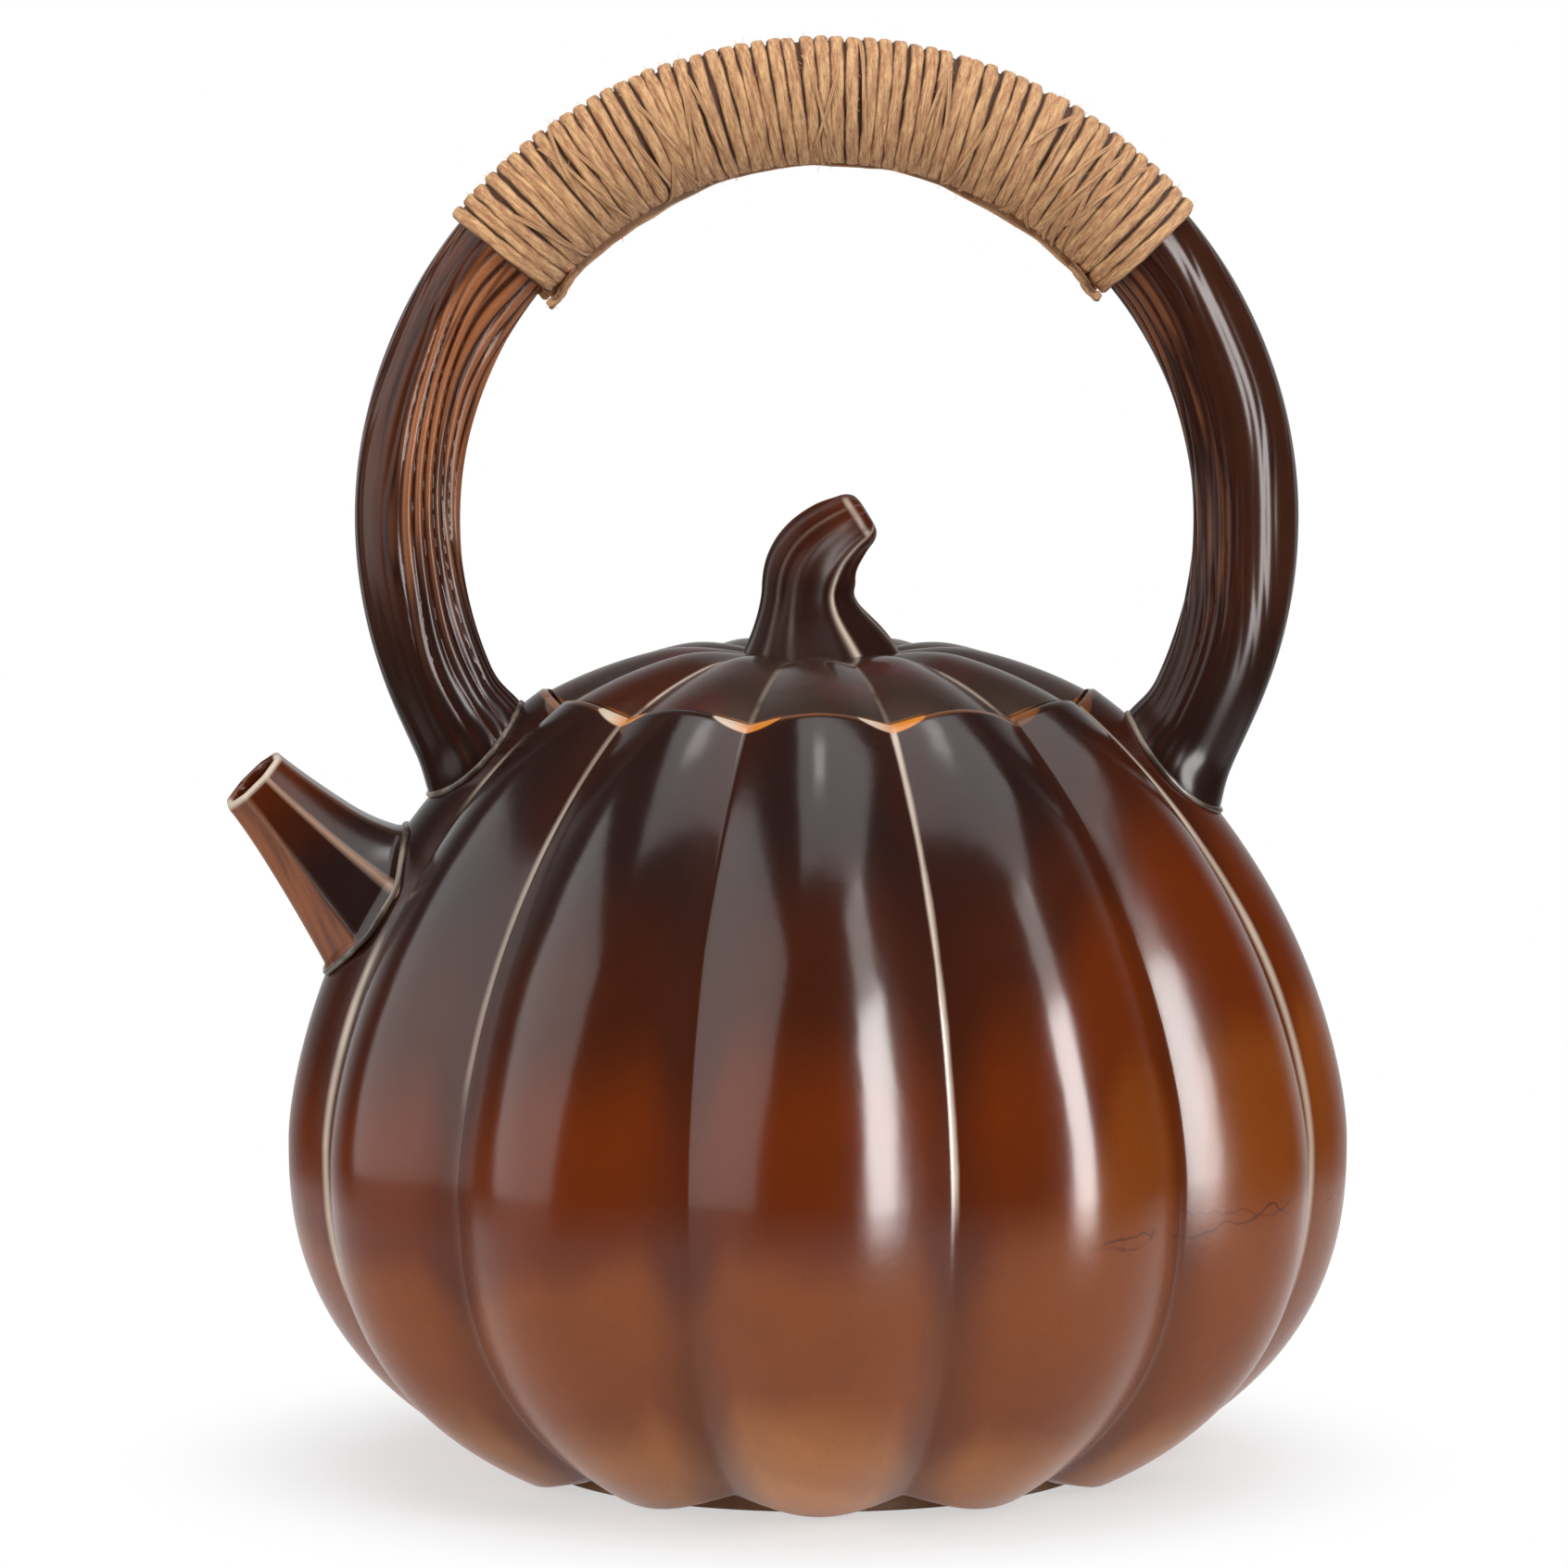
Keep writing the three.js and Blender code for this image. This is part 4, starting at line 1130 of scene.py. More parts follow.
class TEAPOT_OT_spout(TeapotOperator, bpy.types.Operator):
    """Make the faceted spout and finish the strainer behind it"""

    bl_idname = "teapot.spout"
    bl_label = "Spout"

    def execute(self, context):
        spout = self.settings("spout")
        body = self.settings("body")
        glaze = self.settings("glaze")
        angles = round_angles(spout.sides * 16)
        facet = self.facet_shape(angles, spout.sides)
        distance, inset, outer_side = self.wall_section(spout)
        flat = self.flat_radius(distance, spout) - inset
        rings, rise = self.make_rings(angles, facet, distance, flat, outer_side, spout, body)
        roll_of_slip("spout_seam", rings[:OUTER_SPOUT_ROWS], body, glaze)
        tube = loft("faceted_spout", rings, closed=True)
        self.mark_finish(tube, angles, facet, distance, rise / flat[:, None], outer_side, spout)
        tube.data.materials.append(spout_material(glaze))
        place(tube, "pot", "dark_glaze", "spout")
        finish_node("spout_strainer", inner_material(glaze))
        return {"FINISHED"}

    @staticmethod
    def wall_section(spout):
        """Up the outside, over the lip and down the inside: distance from the mouth, inset, side."""
        lip = np.radians(np.linspace(0, 180, 9)[1:-1])
        half_wall = spout.wall / 2
        outside = np.linspace(spout.span + 0.004, half_wall, OUTER_SPOUT_ROWS)
        inside = np.linspace(half_wall, spout.span, 40)
        distance = np.concatenate([outside, half_wall - half_wall * np.sin(lip), inside])
        inset = np.concatenate([outside * 0, half_wall - half_wall * np.cos(lip), inside * 0 + spout.wall])
        outer_side = np.arange(len(distance)) < len(outside) + len(lip)
        return distance, inset, outer_side

    def make_rings(self, angles, facet, distance, flat, outer_side, spout, body):
        """The spout's rings, and how high each of their points lies over the spout's axis."""
        inward = np.array([math.cos(spout.angle), 0, -math.sin(spout.angle)])
        line = np.array([-spout.reach, 0, spout.height]) + inward * distance[:, None]
        tangent = np.repeat(inward[None, :], len(line), axis=0)
        roundness = np.where(outer_side, 0.12, 1.0)[:, None]
        shape = facet[None, :] * (1 - roundness) + roundness
        upper = (1 + np.cos(angles)) / 2
        flare = spout.root_flare * ease(distance / spout.span, 0.45, 1.1) ** 2 * outer_side
        reach = flat[:, None] * shape + flare[:, None] * upper[None, :] ** 2
        around = np.broadcast_to(angles, shape.shape)
        rings = swept(line, tangent, reach, around)
        turned_cut = 1 - ease(distance / spout.span, 0.0, 0.6)
        slant = -rings[..., 1] * math.tan(spout.turn) * turned_cut[:, None]
        rings += inward * slant[..., None]
        gap = rings[..., 2] - shoulder_height(rings[..., 0], rings[..., 1], body)
        fillet = spout.fillet * ease(gap, spout.fillet_height, 0) ** 2 * outer_side[:, None]
        rings += swept(line * 0, tangent, fillet, around)
        self.seat(rings, outer_side, body)
        return rings, (rings - line[:, None, :])[..., 2]

    @staticmethod
    def mark_finish(tube, angles, facet, distance, facing, outer_side, spout):
        """Marks the light underside, the arrises (pale where the glaze breaks, with a painted highlight on
        the front one) and the near side of the lip, painted as its highlight.
        """
        way = distance / spout.span
        outer = outer_side[:, None]
        mark(tube, "along", np.repeat(way[:, None], len(angles), 1))
        mark(tube, "under", ease(-facing, 0.27, 0.33) * outer)
        # The front arris carries a painted highlight, the others a faint pale line where the glaze breaks.
        front_arris_highlight = np.exp(-(((np.degrees(angles) - 292.5) / 7) ** 2))
        fading = (1 - 0.7 * ease(way, 0.5, 1.0))[:, None]
        gleam = np.maximum(0.25, front_arris_highlight * 4)[None, :] * fading
        mark(tube, "arris", ease(facet, 1.056, 1.068)[None, :] * np.minimum(gleam, 1) * outer)
        on_lip = ease(spout.wall * 0.9 - distance, 0, spout.wall * 0.6) * outer_side
        # Only the near side of the lip gets the painted highlight.
        near_side_highlight = ease(np.sin(angles), 0.5, -0.2)
        mark(tube, "lip", on_lip[:, None] * near_side_highlight[None, :])

    @staticmethod
    def flat_radius(distance, spout):
        way = np.maximum(distance, 0) / spout.span
        return spout.mouth_radius + (spout.root_radius - spout.mouth_radius) * way**spout.flare

    @staticmethod
    def facet_shape(angles, sides):
        """Distance to a polygon of flats, with each arris a little rounded."""
        step = 2 * math.pi / sides
        off = (angles + step / 2) % step - step / 2
        return np.minimum(1 / np.cos(off), 1.068)

    @staticmethod
    def seat(rings, outside, body):
        """Ends the spout just inside the pot's outer wall."""
        x, y, z = rings[..., 0], rings[..., 1], rings[..., 2]
        radius = np.hypot(x, y)
        depth = 0.0018
        for i in np.nonzero(outside)[0]:
            floor = shoulder_height(x[i], y[i], body) - depth
            z[i] = np.where(radius[i] < body.belly_radius, np.maximum(z[i], floor), z[i])


def roll_of_slip(name, rings, body, glaze):
    """A thin roll of slip round the foot of a piece whose rings start inside the pot."""
    over = 0.0002
    above = rings[..., 2] - shoulder_height(rings[..., 0], rings[..., 1], body)
    out = np.maximum(np.argmax(above > over, axis=0), 1)
    column = np.arange(rings.shape[1])
    low, high = above[out - 1, column], above[out, column]
    way = np.clip((over - low) / (high - low), 0, 1)[:, None]
    line = rings[out - 1, column] * (1 - way) + rings[out, column] * way
    for _ in range(4):
        line = (np.roll(line, 1, 0) + line * 2 + np.roll(line, -1, 0)) / 4
    tangent = unit(np.roll(line, -1, 0) - np.roll(line, 1, 0))
    up = square_to(tangent, line - [0, 0, body.belly_height])
    across = np.cross(tangent, up)
    around = round_angles(12)[:, None]
    section = up[:, None] * np.cos(around) + across[:, None] * np.sin(around)
    thick = body.seam_radius * (1 + wander(line, 0.006, 0.35))
    roll = loft(name, line[:, None] + section * thick[:, None, None], closed=True)
    roll.data.materials.append(seam_material(glaze))
    place(roll, "pot", "dark_glaze")


def finish_node(node, material):
    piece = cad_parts[node]
    piece.data.materials.clear()
    piece.data.materials.append(material)


class TEAPOT_OT_handle(TeapotOperator, bpy.types.Operator):
    """Make the bark-ridged arch that the pot is carried by"""

    bl_idname = "teapot.handle"
    bl_label = "Handle"

    def execute(self, context):
        handle = self.settings("handle")
        body = self.settings("body")
        glaze = self.settings("glaze")
        line, tangent, stations = even_path(handle_line(handle, body), 760)
        angles = np.broadcast_to(round_angles(232), (len(line), 232))
        smooth = swept(line, tangent, np.full(angles.shape, handle.radius), angles)
        bark = self.bark(smooth, line, stations, angles, handle)
        depth = self.bark_depth(bark["stripe"], bark["inward"], line, handle)
        dent = depth * bark["valley"] + wander(smooth, 0.02, 0.00008) + 0.00004
        radius = handle.radius - np.maximum(dent, 0)
        rings = swept(line, tangent, radius, angles)
        gap = rings[..., 2] - shoulder_height(rings[..., 0], rings[..., 1], body)
        inner_side = (1 - np.cos(angles)) / 2
        fillet = handle.fillet * ease(gap, handle.fillet_height, 0) ** 2 * (0.25 + 0.75 * inner_side)
        rings = swept(line, tangent, radius + fillet, angles)
        sunk = 0.0015
        floor = shoulder_height(rings[..., 0], rings[..., 1], body) - sunk
        rings[..., 2] = np.maximum(rings[..., 2], floor)
        arch = loft("bark_arch", rings)
        for name, values in bark.items():
            mark(arch, name, values)
        quarter = len(line) // 4
        roll_of_slip("left_foot_seam", rings[:quarter], body, glaze)
        roll_of_slip("right_foot_seam", rings[: -quarter : -1], body, glaze)
        arch.data.materials.append(bark_material(glaze))
        place(arch, "pot", "dark_glaze", "handle_arch")
        return {"FINISHED"}

    @staticmethod
    def bark(rings, line, stations, angles, handle):
        """Where the bark lies, its valleys between ridges, and its stripes of chance tone."""
        ridge = handle.ridges * angles / (2 * math.pi) + wander(rings * [1, 1, 0.45], 0.013, 2.2)
        ridge = ridge + (0.6 * np.sin(stations / 0.015) + 0.35 * np.sin(stations / 0.0078))[:, None]
        valley = 1 - np.abs(np.cos(math.pi * ridge)) ** 1.1
        inner_side = (1 - np.cos(angles)) / 2
        smooth_side = 0.24 * ease(line[:, 0], 0.0, 0.03)[:, None]
        barked = ease(inner_side + wander(rings, 0.010, 0.15) - smooth_side, 0.22, 0.55)
        stripe = np.stack([np.sin(angles * 2.2), np.cos(angles * 2.2), angles * 0], -1) * 2.6
        stripe[..., 2] += stations[:, None] / 0.016
        return {"inward": barked, "valley": valley, "stripe": wander(stripe, 1.0, 1.0)}

    @staticmethod
    def bark_depth(stripe, barked, line, handle):
        """Depth of the valleys, less on the right leg and at the feet."""
        depth = handle.outer_depth + (handle.inner_depth - handle.outer_depth) * barked
        right = 1 - 0.35 * ease(line[:, 0], -0.01, 0.03)
        foot = 1 - 0.6 * ease(line[:, 2], 0.114, 0.096)
        return depth * (1 + 0.9 * stripe) * right[:, None] * foot[:, None]


def arch_points(turn, radius, handle):
    x = handle.arch_shift + radius * np.cos(turn)
    return np.stack([x, np.zeros_like(x), handle.arch_height + radius * np.sin(turn)], axis=-1)


def handle_line(handle, body):
    """The middle line of the arch from the left foot over the top to the right foot."""
    turn = np.linspace(math.pi + handle.arch_dip, -handle.arch_dip, 240)
    arch = arch_points(turn, handle.arch_radius, handle)
    foot = float(shoulder_height(handle.leg_spread, 0, body))
    legs = []
    for end, tangent in ((arch[0], arch[0] - arch[1]), (arch[-1], arch[-1] - arch[-2])):
        hand = math.copysign(1, end[0])
        tangent = tangent / np.linalg.norm(tangent)
        bottom = np.array([handle.arch_shift + hand * (handle.leg_spread - handle.leg_lean), 0, foot - 0.006])
        reach = np.linalg.norm(bottom - end) / 3
        pull = bottom + np.array([hand * 0.22, 0, 1]) * reach
        legs.append(bezier(end, end + tangent * reach, pull, bottom, 40))
    return np.vstack([legs[0][:0:-1], arch, legs[1][1:]])


class TEAPOT_OT_twine(TeapotOperator, bpy.types.Operator):
    """Wind the handle with two-strand twine, and tie its ends"""

    bl_idname = "teapot.twine"
    bl_label = "Twine"

    def execute(self, context):
        twine = self.settings("twine")
        handle = self.settings("handle")
        fibre = self.settings("fibre")
        strand = (twine.diameter * 0.38, twine.pitch * 0.5)
        round_strand = (twine.diameter * 0.44, twine.diameter * 0.5)
        ply = (twine.diameter * 0.14, twine.diameter * 0.2)
        material = twine_material(fibre)
        turns = [(self.make_turns(twine, handle), *strand)]
        turns += [(line, *ply) for line in self.make_slack(twine, handle)]
        pieces = {
            "wound_twine": (turns, "twine_winding"),
            "lengthwise_twine": ([(self.make_tail(twine, handle), *round_strand)], "twine_tail"),
            "left_tie": (self.make_tie(twine, handle, twine.left, 1), "twine_knot_left"),
            "right_tie": (self.make_tie(twine, handle, twine.right, -1), "twine_knot_right"),
        }
        for name, (strands, node) in pieces.items():
            piece = self.spin(name, strands, twine)
            piece.data.materials.append(material)
            place(piece, "pot", "twine", node)
        self.make_underlayer(twine, handle, material)
        return {"FINISHED"}

    @staticmethod
    def on_handle(turn, around, radius, handle):
        """Points round the arch. Around is 0 at its inner side and a quarter turn at its back."""
        middle = arch_points(turn, handle.arch_radius, handle)
        outward = (middle - arch_points(turn, 0, handle)) / handle.arch_radius
        side = np.array([0.0, 1.0, 0.0])
        across = -outward * np.cos(around)[:, None] + side * np.sin(around)[:, None]
        return middle + across * radius[:, None]

    def make_turns(self, twine, handle):
        """One strand wound from end to end, with turns that lean and now and then cross."""
        arc = (twine.left - twine.right) * handle.arch_radius
        turns = round(arc / twine.pitch)
        per_turn = 60
        t = np.arange(turns * per_turn + 1) / per_turn
        lean = smooth_chance(t * 0.31, 4.0)
        stray = smooth_chance(t * 1.7, 9.0)
        lift = smooth_chance(t * 2.3, 17.0)
        around = t * 2 * math.pi
        inset = twine.pitch / 2
        distance = inset + t / turns * (arc - 2 * inset)
        ends = np.sin(np.clip(t / turns, 0, 1) * math.pi) ** 0.3
        distance += ends * twine.looseness * (1.9 * lean * np.sin(around) + 1.3 * stray)
        radius = handle.radius + twine.diameter * (0.5 + 0.1 * lift)
        return self.on_handle(twine.left - distance / handle.arch_radius, around, radius, handle)

    def make_slack(self, twine, handle):
        """Thin plies that have come loose and cross the turns at a low angle."""
        lines = []
        chance = np.random.default_rng(11)
        margin = math.radians(8)
        for _ in range(twine.slack_plies):
            start = chance.uniform(twine.right + margin, twine.left - margin)
            lean = chance.uniform(-0.1, 0.1)
            around = np.linspace(0, chance.uniform(1.2, 2.8), 60) + chance.uniform(-math.pi, 0)
            share = np.linspace(0, 1, 60)
            dive = 1 - np.sin(share * math.pi) ** 0.4
            radius = handle.radius + twine.diameter * (0.9 - 0.45 * dive)
            lines.append(self.on_handle(start + lean * (share - 0.5), around, radius, handle))
        return lines

    @staticmethod
    def make_tail(twine, handle):
        """The strand that runs along the underside of the winding and slips behind it at the top."""
        turn = np.linspace(twine.left - math.radians(3), twine.right + math.radians(3), 240)
        hidden = ease(np.abs(turn - math.radians(91)), math.radians(30), math.radians(18))
        wobble = smooth_chance(turn * 9, 31.0)
        back = 0.0034 * hidden + 0.0008 * wobble
        winding = handle.radius + twine.diameter * 0.95
        reach = handle.arch_radius - np.sqrt(winding**2 - back**2) - twine.diameter * 0.1
        line = arch_points(turn, reach + wobble * 0.0001, handle)
        line[:, 1] = back
        return line

    @staticmethod
    def make_tie(twine, handle, turn, way):
        """A small overhand tie under the end of the winding: loops, a strand over them, a cut end."""
        radius = handle.arch_radius - handle.radius - 1.2 * twine.diameter
        thin = (twine.diameter * 0.3, twine.diameter * 0.36)
        strands = []
        for turns, size, drift in ((1.35, 0.0021, 0.0), (1.2, 0.0014, 0.0017)):
            loop = np.linspace(0, 2 * math.pi * turns, 90)
            at = turn - way * (0.0022 + drift + size * np.cos(loop)) / radius
            line = arch_points(at, radius - 0.0004 * np.sin(loop * 0.5) + drift * 0.2, handle)
            line[:, 1] = size * np.sin(loop) - drift * 0.8
            strands.append((line, *thin))
        over = np.linspace(-1, 1, 60)
        strand_turn = turn - way * (0.0016 + 0.0012 * over) / radius
        strand = arch_points(strand_turn, radius - 0.0006 * (1 - over**2), handle)
        strand[:, 1] = 0.0046 * over
        return [*strands, (strand, *thin)]

    def make_underlayer(self, twine, handle, material):
        """The first layer of twine, which shows between the turns of the second, all in the shade colour as
        painted shade in the gaps.
        """
        rows = 300
        inset = math.radians(1.4)
        turn = np.linspace(twine.left - inset, twine.right + inset, rows)
        line = arch_points(turn, handle.arch_radius, handle)
        tangent = unit(np.gradient(line, axis=0))
        angles = np.broadcast_to(round_angles(96), (rows, 96))
        across = turn[:, None] * handle.arch_radius / twine.pitch * 2 * math.pi
        bulge = twine.diameter * 0.05 * np.cos(across + angles)
        radius = handle.radius + twine.diameter * 0.42 + bulge
        layer = loft("under_twine", swept(line, tangent, radius, angles))
        mark(layer, "along", np.broadcast_to(turn[:, None] * handle.arch_radius, (rows, 96)))
        mark(layer, "painted_shade_fibre", np.ones((rows, 96)))
        layer.data.materials.append(material)
        place(layer, "pot", "twine", "twine_winding")

    def spin(self, name, strands, twine):
        """A two-ply strand along each line, flattened to a height and a width, with loose fibres."""
        mesh_points, faces = [], []
        marks = {"along": [], "hollow": [], "side": []}
        sides = 14
        spacing = twine.lay / 16
        start = 0
        chance = np.random.default_rng(7)
        ring = round_angles(sides)
        for path, tall, wide in strands:
            total = np.linalg.norm(np.diff(path, axis=0), axis=1).sum()
            line, tangent, stations = even_path(path, max(int(total / spacing), 24))
            up = self.away_from_arch(line, tangent)
            across = np.cross(tangent, up)
            thick = 1 + 0.2 * smooth_chance(stations * 300, 3.0)[:, None]
            twist = stations[:, None] / twine.lay * 2 * math.pi
            groove = np.abs(np.cos(ring[None, :] - twist / 2)) ** 0.6
            square = 3.2
            reach = np.abs(np.cos(ring) / tall) ** square + np.abs(np.sin(ring) / wide) ** square
            reach = reach[None, :] ** (-1 / square) * thick
            reach = reach - twine.ply_groove * (1 - groove)
            around = up[:, None] * np.cos(ring)[:, None] + across[:, None] * np.sin(ring)[:, None]
            tube = line[:, None] + around * reach[..., None]
            mesh_points.append(tube.reshape(-1, 3))
            marks["along"].append(np.repeat(stations, sides))
            # The hollow between the plies and each point's side, read by the material to paint shade.
            marks["hollow"].append((1 - groove).reshape(-1))
            marks["side"].append(np.tile(np.sin(ring), len(line)))
            faces += tube_faces(start, len(line), sides)
            start += len(line) * sides
            for _ in range(int(twine.fuzz * total / 2.6)):
                at = chance.integers(0, len(line))
                hair, rows = self.hair(line[at], tangent[at], up[at], across[at], twine, chance)
                mesh_points.append(hair)
                for label, value in (("along", stations[at]), ("hollow", 0), ("side", 0)):
                    marks[label].append(np.full(len(hair), value))
                faces += tube_faces(start, rows, 3)
                start += len(hair)
        mesh = bpy.data.meshes.new(name)
        mesh.from_pydata((np.vstack(mesh_points) + AXIS).tolist(), [], faces)
        piece = finished(name, mesh)
        for label, values in marks.items():
            mark(piece, label, np.concatenate(values))
        return piece

    def away_from_arch(self, line, tangent):
        """At each point of a strand, the direction away from the middle line of the arch."""
        handle = self.settings("handle")
        centre = [handle.arch_shift, 0, handle.arch_height]
        outward = unit((line - centre) * [1, 0, 1])
        return square_to(tangent, line - (outward * handle.arch_radius + centre))

    @staticmethod
    def hair(start, tangent, first, second, twine, chance):
        """A short loose fibre that leaves the twine at a low angle."""
        angle = chance.uniform(0, 2 * math.pi)
        out = first * math.cos(angle) + second * math.sin(angle)
        bend = tangent * chance.uniform(-1, 1)
        size = chance.uniform(0.0008, 0.0021)
        steps = 4
        rings = []
        for i in range(steps):
            share = i / (steps - 1)
            away = out * (twine.diameter * 0.42 + size * 0.35 * share)
            middle = start + away + bend * size * share
            thin = 0.00004 * (1 - 0.6 * share)
            for corner in range(3):
                turn = corner / 3 * 2 * math.pi
                rings.append(middle + (second * math.cos(turn) + tangent * math.sin(turn)) * thin)
        return np.array(rings), steps


def tube_faces(start, rows, columns):
    """Faces of a closed tube whose rings follow each other from one point on."""
    index = start + np.arange(rows * columns).reshape(rows, columns)
    near, far = index[:-1], index[1:]
    quads = np.stack([near, np.roll(near, -1, 1), np.roll(far, -1, 1), far], axis=-1)
    return quads.reshape(-1, 4).tolist() + [index[0][::-1].tolist(), index[-1].tolist()]


class TEAPOT_OT_lid(TeapotOperator, bpy.types.Operator):
    """Make the lobed lid with its flange and steam hole"""

    bl_idname = "teapot.lid"
    bl_label = "Lid"

    def execute(self, context):
        lid = self.settings("lid")
        body = self.settings("body")
        glaze = self.settings("glaze")
        angles = round_angles(body.lobes * (44))
        ledge = body.rim_height - body.ledge_depth
        seat = ledge + lid.seat_gap
        hollow = lid.flange_radius - lid.flange_width
        under_radius = np.linspace(0.0005, hollow, 24)
        roof = lid_height(under_radius, lid, body) - lid.thickness
        way = (under_radius / hollow) ** 4
        under = np.zeros((len(under_radius), 5))
        under[:, 0] = under_radius
        under[:, 1] = roof * (1 - way) + seat * way
        bottom = [lid.edge_radius, seat, body.rim_groove, rim_slope(body)[0], 0]
        top = lid_rows(lid, body, 90)
        side = straight_rows(bottom, top[0], 8, include_end=False)
        rows = np.vstack([under, side, top])
        cover = loft("lobed_lid", turned(rows, angles, body))
        self.mark_finish(cover, rows, len(under), angles, body)
        self.pierce(cover, lid, body)
        cover.data.materials.append(lid_material(glaze, body))
        place(cover, "lid", "dark_glaze", "lid_cap")
        self.make_flange(lid, body, ledge, glaze)
        return {"FINISHED"}

    @staticmethod
    def mark_finish(cover, rows, first_outside, angles, body):
        """Marks the pale groove lines, partly glaze that breaks and partly painted highlight, the red patch
        on the left and the orange lower edge.
        """
        bearing = bearings(angles)
        outside = np.zeros((len(rows), len(angles)))
        outside[first_outside:] = 1
        # How strongly each groove of the lid shows its cream line, partly painted highlight.
        strengths = {-105: 0.6, -75: 0.5, -45: 1.0, -15: 0.25, 15: 0.2, 45: 0.55, 75: 1.0, 105: 0.7}
        vein_and_glint = np.zeros_like(outside)
        for groove, strength in strengths.items():
            near = beside_groove(bearing, groove, body)
            vein_and_glint = np.where(near[None, :], outside * strength, vein_and_glint)
        mark(cover, "vein_and_glint", vein_and_glint)
        red = ease(np.abs(bearing + 52), 20, 4)[None, :] * ease(rows[:, 0], 0.016, 0.024)[:, None]
        mark(cover, "red", red * outside)
        edge = np.zeros_like(outside)
        at_edge = slice(first_outside + 7, first_outside + 9)
        edge[at_edge] = np.clip(groove_share(angles, body) * 1.4 - 0.3, 0, 0.5)
        mark(cover, "edge", edge)

    @staticmethod
    def pierce(cover, lid, body):
        """Cuts the steam hole on the side away from the front."""
        angles = round_angles(32)
        reach = lid.thickness * 3
        middle = float(lid_height(np.array([lid.vent_reach]), lid, body)[0])
        x = lid.vent_radius * np.cos(angles)
        y = lid.vent_reach + lid.vent_radius * np.sin(angles)
        rings = np.stack([np.stack([x, y, x * 0 + z], axis=1) for z in (middle - reach, middle + reach)])
        drill = loft("steam_hole", rings)
        cut = cover.modifiers.new("steam_hole", "BOOLEAN")
        cut.operation = "DIFFERENCE"
        cut.object = drill
        cut.solver = "EXACT"
        ready = cover.evaluated_get(bpy.context.evaluated_depsgraph_get())
        mesh = bpy.data.meshes.new_from_object(ready)
        cover.modifiers.clear()
        cover.data = mesh
        bpy.data.objects.remove(drill)

    @staticmethod
    def make_flange(lid, body, ledge, glaze):
        inner = lid.flange_radius - lid.flange_width
        bottom = ledge - lid.flange_depth
        rows = ring_section(lid.flange_radius, inner, bottom, ledge, 0.0008, 0.0001, 6)
        ring = loft("lid_flange_ring", turned(rows, round_angles(200), body), closed=True)
        ring.data.materials.append(inner_material(glaze))
        place(ring, "lid", "body_glaze", "lid_flange")


def lid_height(radius, lid, body):
    """Height of the lid's upper surface, on the crests of its lobes."""
    dimple = lid.dimple * np.maximum(0, 1 - (radius / lid.dimple_radius) ** 2) ** 2
    return body.rim_height + lid.crown * (1 - (radius / lid.edge_radius) ** lid.fullness) - dimple


def lid_rows(lid, body, steps):
    """Rows of the lid's upper surface from its edge to its middle."""
    way = np.linspace(1, 0.01, steps)
    radius = lid.edge_radius * way
    groove = lid.middle_groove + (body.rim_groove - lid.middle_groove) * way**1.5
    lean = rim_slope(body)[0] * way * way
    height = lid_height(radius, lid, body)
    return np.stack([radius, height, groove, lean, np.sqrt(1 - lean**2)], axis=1)


